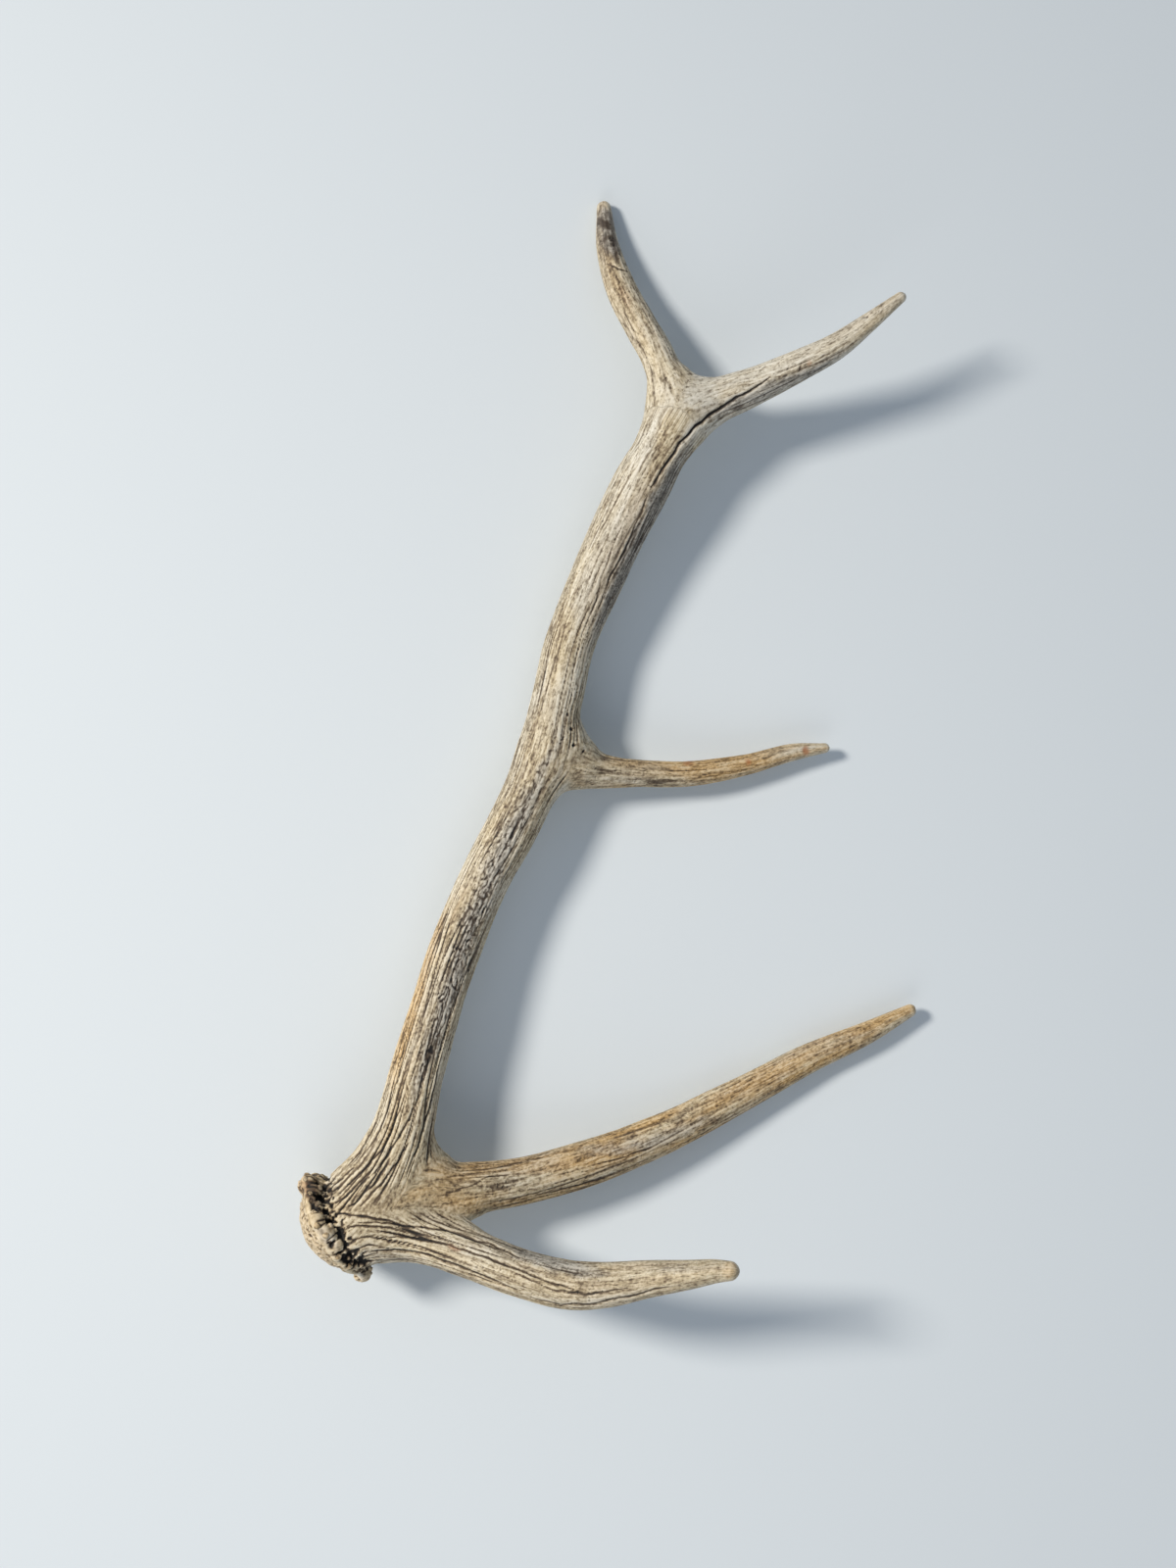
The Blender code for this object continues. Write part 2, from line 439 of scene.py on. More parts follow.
@dataclass
class Burr:
    """The rough ring round the antler's foot, and the domed seal where it was shed.

    Args:
        middle: The ring's middle.
        growth: The way the antler grows out of it.
        ring_radius: From the middle to the ring's own centre line.
        ring_thickness: The ring's own mean radius.
        seal_radius: The dome's radius at the ring.
        seal_bulge: How far the dome stands out of the ring.
        knobs: How many knobs the ring carries.
        lobes: Its largest knobs, each a place and a radius.
        seed: Picks where the others are.
    """

    middle: Array
    growth: Array
    ring_radius: float = 36.0
    ring_thickness: float = 3.8
    seal_radius: float = 37.5
    seal_bulge: float = 25.0
    knobs: int = 22
    lobes: tuple[Station, ...] = (
        (-247, -335, 56, 5.6), (-240, -337, 48, 6.8), (-243, -341, 62, 5.0), (-250, -340, 49, 5.0),
        (-246, -346, 66, 3.8), (-244, -352, 71, 4.2), (-242, -361, 78, 6.6), (-235, -371, 79, 7.6),
        (-228, -379, 77, 6.8), (-220, -388, 71, 5.8), (-214, -397, 63, 5.8), (-205, -408, 49, 6.4),
        (-207, -405, 40, 6.5), (-206, -395, 62, 5.0),
    )
    seed: int = 7
    knob_centres: Array = field(init=False)
    knob_radii: Array = field(init=False)
    across: Array = field(init=False)
    upward: Array = field(init=False)

    BLEND = 1.5
    SEAL_EDGE = 2.0
    SEAL_DEPTH = 16.0
    SEAL_RINGS = 16
    RING_BALLS = 36
    CORE = (-205.0, -366.0, 47.0, 27.0)
    KNOB_SPREAD = 0.38
    KNOB_RADII = (2.4, 4.8)
    KNOB_OUT = (-1.0, 2.5)
    KNOB_LIFT = (-1.0, 5.0)

    def __post_init__(self) -> None:
        """Sets the knobs out round the ring, uneven in place and size."""
        dice = np.random.default_rng(self.seed)
        self.growth = unit(self.growth)
        self.upward = unit(UP - self.growth * self.growth[2])
        self.across = np.cross(self.growth, self.upward)
        spread = dice.uniform(-self.KNOB_SPREAD, self.KNOB_SPREAD, self.knobs)
        angles = (np.arange(self.knobs) + spread) * 2 * math.pi / self.knobs
        radii = dice.uniform(*self.KNOB_RADII, self.knobs)
        out = self.ring_radius + dice.uniform(*self.KNOB_OUT, self.knobs)
        lift = dice.uniform(*self.KNOB_LIFT, self.knobs)
        round_it = np.outer(np.cos(angles) * out, self.upward) + np.outer(np.sin(angles) * out, self.across)
        lobes = np.array(self.lobes)
        self.knob_centres = np.vstack([self.middle + self.growth * lift[:, None] + round_it, lobes[:, :3]])
        self.knob_radii = np.concatenate([radii, lobes[:, 3]])

    def locate(self, points: Array) -> tuple[Array, Array, Array]:
        """The points' distance from the ring's axis, height along it, and outward direction.

        Args:
            points: Points in millimetres.

        Returns:
            Distances, heights and unit directions.
        """
        offset = points - self.middle
        height = offset @ self.growth
        flat = offset - height[:, None] * self.growth
        return np.linalg.norm(flat, axis=1), height, unit(flat)

    def knob_gap(self, points: Array) -> Array:
        """The points' distance from the nearest knob, negative inside it.

        Args:
            points: Points in millimetres.

        Returns:
            A distance for each point.
        """
        nearest = np.full(len(points), FAR)
        for centre, radius in zip(self.knob_centres, self.knob_radii):
            nearest = np.minimum(nearest, np.linalg.norm(points - centre, axis=1) - radius)
        return nearest

    def measure(self, points: Array) -> list[tuple[Array, Array]]:
        """The gap to the ring, the seal and each knob, and its slope, at points near the burr.

        Args:
            points: Points in millimetres.

        Returns:
            A gap and a slope for each of the burr's shapes.
        """
        out, height, away = self.locate(points)
        rim = np.stack([out - self.ring_radius, height], axis=1)
        size = np.linalg.norm(rim, axis=1)
        shapes = [(size - self.ring_thickness, unit(away * rim[:, :1] + self.growth * rim[:, 1:]))]
        curve = (self.seal_radius**2 + self.seal_bulge**2) / (2 * self.seal_bulge)
        offset = points - self.middle - self.growth * (curve - self.seal_bulge)
        dome = np.linalg.norm(offset, axis=1) - curve
        parts = np.stack([dome, out - self.seal_radius, height - self.SEAL_EDGE])
        weight = np.exp((parts - parts.max(0)) / self.SEAL_EDGE)
        weight /= weight.sum(0)
        slope = unit(offset) * weight[0][:, None] + away * weight[1][:, None]
        shapes.append(((parts * weight).sum(0), unit(slope + self.growth * weight[2][:, None])))
        for centre, radius in zip(self.knob_centres, self.knob_radii):
            offset = points - centre
            shapes.append((np.linalg.norm(offset, axis=1) - radius, unit(offset)))
        return shapes

    def starts(self) -> list[tuple[Array, list[list[int]]]]:
        """Plain closed solids of the ring, the seal and the knobs, to start the mesh from."""
        solids = [ball(centre, radius) for centre, radius in zip(self.knob_centres, self.knob_radii)]
        for turn in np.linspace(0, 2 * math.pi, self.RING_BALLS, endpoint=False):
            out = self.upward * math.cos(turn) + self.across * math.sin(turn)
            solids.append(ball(self.middle + out * self.ring_radius, self.ring_thickness))
        solids.append(ball(np.array(self.CORE[:3]), self.CORE[3]))
        points, faces = ball(np.zeros(3), 1.0, self.SEAL_RINGS)
        flat = points[:, :1] * self.across + points[:, 1:2] * self.upward
        lift = points[:, 2] * np.where(points[:, 2] < 0, self.seal_bulge, self.SEAL_DEPTH)
        solids.append((self.middle + flat * self.seal_radius + lift[:, None] * self.growth, faces))
        return solids


@dataclass
class Feel:
    """What the whole form measures at a set of points.

    Args:
        gap: Distance outside the form's surface.
        slope: The way out of it.
        shares: How much each branch, and last the burr, has of each point.
        near: Each branch's own measures.
    """

    gap: Array
    slope: Array
    shares: Array
    near: list[Nearness]


@dataclass
class AntlerForm:
    """The antler's smooth form, before its surface is grained.

    Args:
        branches: The beam and the tines.
        burr: The ring and the seal at its foot.
        web: How softly the branches flow into each other.
        crotches: Where they flow wider: x, y, height, how far that reaches, and how much it adds.
    """

    branches: list[Branch]
    burr: Burr
    web: float = 8.5
    crotches: tuple[tuple[float, ...], ...] = (
        (-140, -320, 42, 25, 7), (-112, -366, 56, 26, 4), (-34, -2, 33, 28, 8), (52, 296, 46, 28, 6),
    )

    BURR_REACH = 70.0
    CUT_BLEND = 1.5
    OWN_BLEND = 3.0
    LONGEST_STEP = 4.0

    def feel(self, points: Array) -> Feel:
        """Measures the form at the points.

        Args:
            points: Points in millimetres.

        Returns:
            The gap to the surface, its slope and who owns each point.
        """
        count = len(points)
        gaps = np.full((len(self.branches) + 1, count), FAR)
        slopes = np.zeros((len(self.branches) + 1, count, 3))
        near = []
        for index, branch in enumerate(self.branches):
            found = branch.measure(points)
            gaps[index, found.rows] = found.gap
            slopes[index, found.rows] = found.away
            near.append(found)
        far = np.linalg.norm(points - self.burr.middle, axis=1)
        web = np.full(count, self.web)
        for x, y, height, reach, extra in self.crotches:
            off = np.linalg.norm(points - np.array([x, y, height]), axis=1)
            web += extra * bell(off, reach)
        beyond = gaps[:-1] - gaps[:-1].min(0)
        fade = np.maximum(ease(gaps[:-1], Branch.REACH, Branch.REACH / 2), beyond <= 0)
        weight = np.exp(-beyond / web) * fade
        total = weight.sum(0)
        gap = gaps[:-1].min(0) - web * np.log(total)
        slope = (slopes[:-1] * (weight / total)[..., None]).sum(0)

        rows = np.flatnonzero(far < self.BURR_REACH)
        shapes = self.burr.measure(points[rows])
        behind = -self.burr.locate(points[rows])[1]
        kept = 1 / (1 + np.exp(((behind - gap[rows]) / self.CUT_BLEND).clip(-40, 40)))
        trimmed = gap[rows] * kept + behind * (1 - kept)
        turned = slope[rows] * kept[:, None] - self.burr.growth * (1 - kept)[:, None]
        all_gaps = np.stack([trimmed] + [one[0] for one in shapes])
        all_slopes = np.stack([turned] + [one[1] for one in shapes])
        blend = self.burr.BLEND
        pull = np.exp(-(all_gaps - all_gaps.min(0)) / blend)
        whole = pull.sum(0)
        gap[rows] = all_gaps.min(0) - blend * np.log(whole)
        slope[rows] = (all_slopes * (pull / whole)[..., None]).sum(0)

        shares = np.zeros((len(self.branches) + 1, count))
        own = np.exp(-beyond / self.OWN_BLEND)
        shares[:-1] = own / own.sum(0)
        burr_share = 1 - pull[0] / whole
        shares[-1, rows] = burr_share
        shares[:-1, rows] *= 1 - burr_share
        return Feel(gap, unit(slope), shares, near)

    def settle(self, points: Array, passes: int) -> Array:
        """Moves points onto the form's surface.

        Args:
            points: Points near the surface.
            passes: How many steps to take.

        Returns:
            The moved points.
        """
        for _ in range(passes):
            felt = self.feel(points)
            points = points - felt.slope * felt.gap.clip(-self.LONGEST_STEP, self.LONGEST_STEP)[:, None]
        return points

    def rough_mesh(self, step: float) -> tuple[Array, Array]:
        """An even mesh of squares over the whole form, from the plain solids.

        Args:
            step: The squares' side.

        Returns:
            Points and four-cornered faces.
        """
        solids = [branch.tube() for branch in self.branches] + self.burr.starts()
        points = []
        faces = []
        count = 0
        for solid_points, solid_faces in solids:
            points.append(solid_points)
            faces.extend([[corner + count for corner in face] for face in solid_faces])
            count += len(solid_points)
        mesh = bpy.data.meshes.new("antler_start")
        mesh.from_pydata((np.vstack(points) * MM).tolist(), [], faces)
        start = bpy.data.objects.new("antler_start", mesh)
        bpy.context.scene.collection.objects.link(start)
        skin = start.modifiers.new("skin", "REMESH")
        skin.mode = "VOXEL"
        skin.voxel_size = step * MM
        graph = bpy.context.evaluated_depsgraph_get()
        made = bpy.data.meshes.new_from_object(start.evaluated_get(graph), depsgraph=graph)
        places = np.empty(len(made.vertices) * 3, np.float32)
        made.vertices.foreach_get("co", places)
        corners = np.empty(len(made.loops), np.int32)
        made.loops.foreach_get("vertex_index", corners)
        bpy.data.objects.remove(start)
        bpy.data.meshes.remove(mesh)
        bpy.data.meshes.remove(made)
        return places.reshape(-1, 3).astype(float) / MM, corners.reshape(-1, 4)


@dataclass
class Web:
    """The neighbours in a mesh of four-cornered faces, for smoothing over it.

    Args:
        count: How many points the mesh has.
        faces: Its faces.
    """

    count: int
    faces: Array
    pairs: Array = field(init=False)
    degree: Array = field(init=False)

    def __post_init__(self) -> None:
        """Lists each edge once each way."""
        edges = np.vstack([self.faces[:, [i, (i + 1) % 4]] for i in range(4)])
        self.pairs = edges
        self.degree = np.bincount(edges[:, 0], minlength=self.count)

    def mean(self, values: Array) -> Array:
        """The mean over each point's neighbours."""
        flat = values.reshape(self.count, -1)
        sums = [
            np.bincount(self.pairs[:, 0], weights=column[self.pairs[:, 1]], minlength=self.count)
            for column in flat.T
        ]
        return (np.stack(sums, axis=1) / self.degree[:, None]).reshape(values.shape)

    def normals(self, points: Array) -> Array:
        """The mesh's outward direction at each point."""
        corners = points[self.faces]
        cross = np.cross(corners[:, 2] - corners[:, 0], corners[:, 3] - corners[:, 1])
        total = np.zeros((self.count, 3))
        for axis in range(3):
            for corner in range(4):
                total[:, axis] += np.bincount(
                    self.faces[:, corner], weights=cross[:, axis], minlength=self.count
                )
        return unit(total)

    def even_out(self, points: Array, normals: Array, share: float = 0.5) -> Array:
        """Slides points along the surface towards the middle of their neighbours."""
        shift = self.mean(points) - points
        shift -= normals * (shift * normals).sum(1)[:, None]
        return points + shift * share

    def hollow(self, points: Array, normals: Array, passes: int) -> Array:
        """How far each point lies under the surface smoothed over that many passes."""
        smooth = points
        for _ in range(passes):
            smooth = self.mean(smooth)
        return ((smooth - points) * normals).sum(1)


@dataclass(frozen=True)
class Mark:
    """A crack, furrow, band or stain on the side that faces up, seen in plan.

    Args:
        path: Plan places that it runs through.
        width: Its width.
        depth: How deep it cuts, or 0 for a stain.
        tint: The tone that it takes.
        strength: How strong the tone is.
    """

    path: tuple[Spot, ...]
    width: float
    depth: float = 0.0
    tint: Tint = Tint.DIRT_AND_SHADE
    strength: float = 1.0

    LEAST_HALF = 0.2

    def closeness(self, points: Array, wander: Array) -> tuple[Array, Array]:
        """How much of the mark each nearby point has.

        Args:
            points: Points in millimetres.
            wander: A small sideways shift for each, so that edges aren't straight.

        Returns:
            The rows of the points near it, and 1 on its line falling to 0 at its edge.
        """
        knots = np.array(self.path, float)
        reach = self.width * 2
        low = knots.min(0) - reach
        high = knots.max(0) + reach
        rows = np.flatnonzero(np.all((points[:, :2] > low) & (points[:, :2] < high), axis=1))
        asked = points[rows, :2] + wander[rows] * min(1.0, 0.25 + self.width / 12)
        gap = np.linalg.norm(asked - knots[0], axis=1)
        taper = np.ones(len(rows))
        share = np.linspace(0, 1, len(knots))
        for index, (start, end) in enumerate(zip(knots, knots[1:])):
            step = end - start
            part = np.clip(((asked - start) @ step) / (step @ step), 0, 1)
            away = np.linalg.norm(asked - start - part[:, None] * step, axis=1)
            closer = away <= gap
            gap = np.minimum(gap, away)
            way = share[index] + (share[index + 1] - share[index]) * part
            taper = np.where(closer, np.sin(np.pi * np.clip(way * 0.9 + 0.05, 0, 1)) ** 0.5, taper)
        half = self.width / 2 * taper
        return rows, bell(gap, np.maximum(half, self.LEAST_HALF)) * taper


@dataclass
class Skin:
    """The antler's fine mesh with its relief and its tones.

    Args:
        form: The smooth form under it.
        marks: The marks on its upper side.
        step: The mesh's squares' side.
    """

    form: AntlerForm
    marks: tuple[Mark, ...]
    step: float
    points: Array = field(init=False)
    faces: Array = field(init=False)
    normals: Array = field(init=False)
    web: Web = field(init=False)
    felt: Feel = field(init=False)
    tones: dict[Tint, Array] = field(init=False)
    grain: Array = field(init=False)

    FIRST_PASSES = 4
    EVENING_PASSES = 2
    LEAST_SHARE = 0.01
    TIP_WEAR = (0.6, 0.97)
    PATCH = Weave(17, 75)
    SMALL_PATCH = Weave(6, 30, 9)
    SWAY_BY = 3.0
    SHAKE_BY = 0.7
    UPPER_SIDE = (-0.1, 0.25)
    BURR_NEAR = 75.0
    DOME_EDGE = (-1.5, -5.0)
    RIB_SPACING = 7.5
    RIB_WAVER = 2.2
    RIB_RING = (22, 31)
    KNOB_FOOT = (0.7, 2.4)
    HOLE_EDGE = (-0.3, 0.1)
    SPOKE_SEED = 57
    SPOKES = 7.5
    SPOKE_RUN = 26
    GUTTER_START = (1.0, 5.0)
    GUTTER_END = (28.0, 12.0)
    CREVICE_START = (0.0, 3.0)
    CREVICE_FULL = 8.0
    CREVICE_REACH = 18.0
    GUTTER = 0.9
    DOME_PIT = 1.2
    POCKET = 4.2
    FURROW_WIDTH = 0.12
    SEAM_WIDTH = 0.15
    GUTTER_WIDTH = 0.13
    FINE = Weave(2.9, 26, 11.3)
    HAIR = Weave(1.7, 11, 17.1)
    SWELLING = Weave(22, 55, 3.1)
    FURROW_FADE = Weave(14, 60, 23.9)
    SEAM_FADE = Weave(9, 45, 29.3)
    NET = Weave(4.2, 8.5, 35.9)
    SMALL_NET = Weave(2.9, 5.5, 41.1)
    NET_WIDTH = 0.2
    SMALL_NET_WIDTH = 0.24
    FINE_REACH = 4
    WIDE_REACH = 22
    FINE_HOLLOW = (0.03, 0.4)
    WIDE_HOLLOW = (0.35, 2.4)
    RIDGE = (-0.02, -0.22)
    DIRT_AND_SHADE_RUN = (-0.5, 2.0)
    STREAK_GAIN = 1.2

    def __post_init__(self) -> None:
        """Lays the mesh on the form, works the tones out and raises the relief."""
        self.points, self.faces = self.form.rough_mesh(self.step)
        self.web = Web(len(self.points), self.faces)
        self.points = self.form.settle(self.points, self.FIRST_PASSES)
        for _ in range(self.EVENING_PASSES):
            normals = self.web.normals(self.points)
            self.points = self.form.settle(self.web.even_out(self.points, normals), 1)
        self.felt = self.form.feel(self.points)
        self.tones = {tint: np.zeros(len(self.points)) for tint in Tint}
        self.grain = np.zeros_like(self.points)
        self.lay_patches()
        cuts = self.draw_marks()
        height = self.branch_relief() + self.burr_relief() - cuts
        self.points = self.points + self.felt.slope * height[:, None]
        self.normals = self.web.normals(self.points)
        self.find_hollows()

    def lay_patches(self) -> None:
        """Spreads each branch's own tones in long soft patches, and wears its tip smooth."""
        for index, branch in enumerate(self.form.branches):
            near = self.felt.near[index]
            share = self.felt.shares[index, near.rows]
            keep = share > self.LEAST_SHARE
            rows = near.rows[keep]
            share = share[keep]
            along = near.along[keep]
            way = along / branch.length
            ring = branch.grain.ring(near.turn[keep])
            for number, (tint, (root, tip)) in enumerate(branch.grain.tones.items()):
                noise = Noise(branch.grain.seed + 40 + number)
                patch = self.PATCH.on(noise, ring, along) + 0.5 * self.SMALL_PATCH.on(noise, ring, along)
                amount = (root + (tip - root) * way) * np.clip(0.55 + 0.9 * patch, 0, 1.5)
                self.tones[tint][rows] += share * amount
            if index > 0:
                self.tones[Tint.WORN][rows] += share * ease(way, *self.TIP_WEAR)

    def draw_marks(self) -> Array:
        """Lays the tones of the marks, and works out how deep they cut.

        Returns:
            The depth of the cut at each point.
        """
        wander = self.SWAY_BY * np.stack([pattern.at(self.points) for pattern in SWAY], axis=1)
        wander += self.SHAKE_BY * np.stack([pattern.at(self.points) for pattern in SHAKE], axis=1)
        facing = ease(self.felt.slope[:, 2], *self.UPPER_SIDE)
        broken = 0.5 + 0.5 * ease(BREAKS.at(self.points), -0.35, 0.25)
        cut = np.zeros(len(self.points))
        for mark in self.marks:
            rows, near = mark.closeness(self.points, wander)
            near = near * facing[rows]
            cut[rows] = np.maximum(cut[rows], near * mark.depth)
            if mark.tint is Tint.DIRT_AND_SHADE:
                near = near * broken[rows]
            tone = self.tones[mark.tint]
            tone[rows] = np.maximum(tone[rows], near * mark.strength)
        return cut

    def branch_relief(self) -> Array:
        """Furrows, ridges, pearls and swelling of every branch, blended where branches meet.

        Returns:
            The height to raise each point by.
        """
        total = np.zeros(len(self.points))
        clean = ease((self.felt.shares[:-1] ** 2).sum(0), 0.4, 0.9)
        owner = self.felt.shares[:-1].argmax(0)
        speckle = SPECKLE.at(self.points)
        blotch = BLOTCH.at(self.points)
        pits = ease(speckle, 0.28, 0.5) * ease(blotch, -0.1, 0.25)
        for index, branch in enumerate(self.form.branches):
            near = self.felt.near[index]
            share = self.felt.shares[index, near.rows]
            keep = share > self.LEAST_SHARE
            rows = near.rows[keep]
            share = share[keep]
            along = near.along[keep]
            grain = branch.grain
            ring = grain.ring(near.turn[keep])
            noise = Noise(grain.seed)

            def streaks(weave: Weave) -> Array:
                """The branch's noise at one size."""
                return weave.on(noise, ring, along)

            way = along / branch.length
            depth = np.interp(way, (0, 0.5, 1), grain.furrows)
            calm = clean[rows] * (1 - 0.85 * self.tones[Tint.WORN][rows].clip(0, 1))
            pearl = self.tones[Tint.PEARLED][rows].clip(0, 1) * calm
            wide = streaks(Weave(grain.spacing, grain.run))
            middle = streaks(Weave(grain.spacing * 0.58, grain.run * 0.6, 7.7))
            fine = streaks(self.FINE)
            hair = streaks(self.HAIR)
            strong = 0.35 + 0.65 * ease(streaks(self.FURROW_FADE), -0.35, 0.35)
            furrow = bell(wide, self.FURROW_WIDTH) * strong
            seam = bell(middle, self.SEAM_WIDTH) * ease(streaks(self.SEAM_FADE), -0.3, 0.3)
            net = 0.7 * bell(streaks(self.NET), self.NET_WIDTH)
            net += 0.5 * bell(streaks(self.SMALL_NET), self.SMALL_NET_WIDTH)
            net *= 0.25 + 0.75 * ease(blotch[rows], -0.3, 0.25)
            height = depth * (0.3 * wide - 0.95 * furrow - 0.5 * seam)
            height += (0.1 + 0.1 * depth) * fine + 0.12 * hair
            height = height * (1 - 0.4 * pearl) - 1.0 * pearl * net - 0.2 * pits[rows]
            total[rows] += share * (height * (0.12 + 0.88 * calm) + 0.5 * streaks(self.SWELLING))
            # Darker in the furrows, the seams, the pearled band's net and the pits: grime there, partly
            # painted shade.
            dirt_and_shade = (0.85 * furrow + 0.5 * seam) * np.clip(0.3 + 0.55 * depth, 0, 1.3) * calm
            dirt_and_shade += pearl * net * 0.65 + 0.45 * pits[rows]
            self.tones[Tint.DIRT_AND_SHADE][rows] += share * dirt_and_shade
            streak = (0.45 * fine + 0.35 * hair + 0.4 * middle + 0.3 * wide) * (0.35 + 0.65 * calm)
            chalky = self.tones[Tint.PALE][rows].clip(0, 1)
            streak *= 1 - 0.4 * chalky
            streak += (0.85 * speckle[rows] + 0.6 * blotch[rows]) * (1 - 0.75 * chalky)
            self.tones[Tint.STREAK][rows] += share * streak
            mine = owner[rows] == index
            self.grain[rows[mine]] = np.column_stack([ring, along])[mine]
        return total

    def burr_relief(self) -> Array:
        """The burr's rough crust, the seal's pits and ribs, and the crevices behind the ring, painted black
        as shade.

        Returns:
            The height to raise each point by.
        """
        burr = self.form.burr
        rows = np.flatnonzero(np.linalg.norm(self.points - burr.middle, axis=1) < self.BURR_NEAR)
        places = self.points[rows]
        out, height, away = burr.locate(places)
        share = self.felt.shares[-1, rows]
        lumps = LUMPS.at(places)
        crust = CRUST.at(places)
        dome = share * ease(height, *self.DOME_EDGE)
        pits = ease(PITS.at(places), 0.12, 0.5)
        pits += 0.7 * ease(WIDE_PITS.at(places), 0.2, 0.55)
        ribs = np.sin((height + self.RIB_WAVER * lumps) * 2 * math.pi / self.RIB_SPACING)
        ribs = ribs * ease(out, *self.RIB_RING) * dome
        between = ease(burr.knob_gap(places), *self.KNOB_FOOT)
        crest = share * (1 - dome)
        relief = crest * (0.45 * lumps + 0.15 * crust)
        relief += dome * (0.5 * lumps - self.DOME_PIT * pits) + 0.7 * ribs
        start = ease(height, *self.CREVICE_START)
        start *= ease(height + 4 * lumps, self.CREVICE_REACH, self.CREVICE_FULL)
        holes = HOLES.at(places) + 0.6 * FINE_HOLES.at(places)
        pocket = start * between * ease(holes, *self.HOLE_EDGE)
        relief -= self.POCKET * pocket
        climb = burr.growth * (height / self.SPOKE_RUN)[:, None]
        spokes = Noise(self.SPOKE_SEED).at(away * self.SPOKES + climb)
        gutter = bell(spokes, self.GUTTER_WIDTH)
        gutter *= ease(height, *self.GUTTER_START) * ease(height, *self.GUTTER_END)
        relief -= self.GUTTER * gutter
        tones = self.tones
        # Painted shade, with some grime: black in the pockets between the knobs, darker behind the ring, in
        # the seal's pits, in the gutters and in the low places of the crest.
        tones[Tint.DIRT_AND_SHADE][rows] += 1.9 * pocket + 0.35 * start + dome * 0.75 * np.clip(pits, 0, 1)
        tones[Tint.DIRT_AND_SHADE][rows] += 0.6 * gutter
        tones[Tint.DIRT_AND_SHADE][rows] += crest * (0.45 * between * start + 0.25 * ease(lumps, 0.1, -0.4))
        tones[Tint.OCHRE][rows] += dome * 0.5 + crest * 0.3
        tones[Tint.GREY][rows] += dome * 0.35
        tones[Tint.PALE][rows] += crest * 0.15
        tones[Tint.STREAK][rows] += share * (0.4 * crust + 0.3 * lumps)
        total = np.zeros(len(self.points))
        total[rows] = relief
        return total

    def find_hollows(self) -> None:
        """Darkens the skin where the finished surface lies below its surroundings, as painted shade with
        some grime in the hollows, and pales its ridges.
        """
        fine = self.web.hollow(self.points, self.normals, max(2, round(self.FINE_REACH / self.step)))
        wide = self.web.hollow(self.points, self.normals, max(6, round(self.WIDE_REACH / self.step**2)))
        dirt_and_shade = self.tones[Tint.DIRT_AND_SHADE]
        bare = 1 - 0.5 * self.felt.shares[-1]
        # Painted shade: darker in the fine and the wide hollows of the surface, paler on its ridges.
        dirt_and_shade += ease(fine, *self.FINE_HOLLOW) * 0.7 * bare + ease(wide, *self.WIDE_HOLLOW) * 0.9
        dirt_and_shade -= ease(fine, *self.RIDGE) * 0.45
        self.tones[Tint.DIRT_AND_SHADE] = dirt_and_shade.clip(*self.DIRT_AND_SHADE_RUN)
        # Painted shade in the streaks too: darker in the fine hollows, paler on the ridges.
        streak = self.tones[Tint.STREAK] - self.STREAK_GAIN * fine.clip(-0.35, 0.35)
        self.tones[Tint.STREAK] = streak.clip(-1, 1)


# Centre lines from root to tip: x, y, height and radius.
BEAM = (
    (-214, -364, 46, 31), (-202, -348, 47, 29), (-187, -326, 48, 26.5), (-174, -297, 47, 23.5),
    (-163, -256, 44, 21), (-149, -209, 42, 20), (-133, -161, 39, 20), (-111, -110, 37, 19.5),
    (-89, -70, 36, 20.5), (-66, -20, 34, 20.5), (-52, 31, 32, 20), (-41, 78, 32, 19.5),
    (-23, 122, 34, 21), (-4, 164, 37, 22), (17, 207, 43, 22.5), (37, 242, 49, 18.5),
)
BROW = (
    (-214, -374, 47, 30), (-196, -371, 52, 25), (-161, -379, 65, 19), (-126, -390, 77, 18.5),
    (-89, -403, 89, 18), (-55, -411, 98, 18.3), (-25, -410, 108, 16.8), (3, -405, 118, 14),
    (34, -400, 130, 11), (50, -397, 136, 9.2), (61, -396, 141, 7.6),
)
BEZ = (
    (-192, -358, 48, 24), (-163, -346, 48, 22), (-129, -346, 44, 20), (-82, -343, 37, 18.4),
    (-22, -330, 29, 17.8),
    (38, -310, 21, 16), (95, -285, 15, 14), (153, -257, 12, 11.8), (202, -237, 12, 9.4), (241, -218, 13, 5),
)
TREZ = (
    (-55, -15, 33, 13), (-27, -22, 30, 14.5), (5, -25, 27, 11.5), (54, -26, 21, 10.2),
    (102, -19, 17, 8.5), (139, -9, 15, 7.4), (169, -5, 14, 4),
)
CROWN_BACK = (
    (39, 253, 49, 15), (29, 296, 40, 13.5), (15, 326, 32, 12.8), (1, 357, 22, 12), (-8, 390, 14, 9.3),
    (-10, 423, 6.5, 6),
)
CROWN_FRONT = (
    (43, 253, 49, 15.5), (75, 267, 56, 17), (105, 279, 64, 14.3), (133, 292, 73, 12.3),
    (160, 306, 82, 10.3), (184, 324, 90, 7.4), (206, 342, 98, 4.4),
)

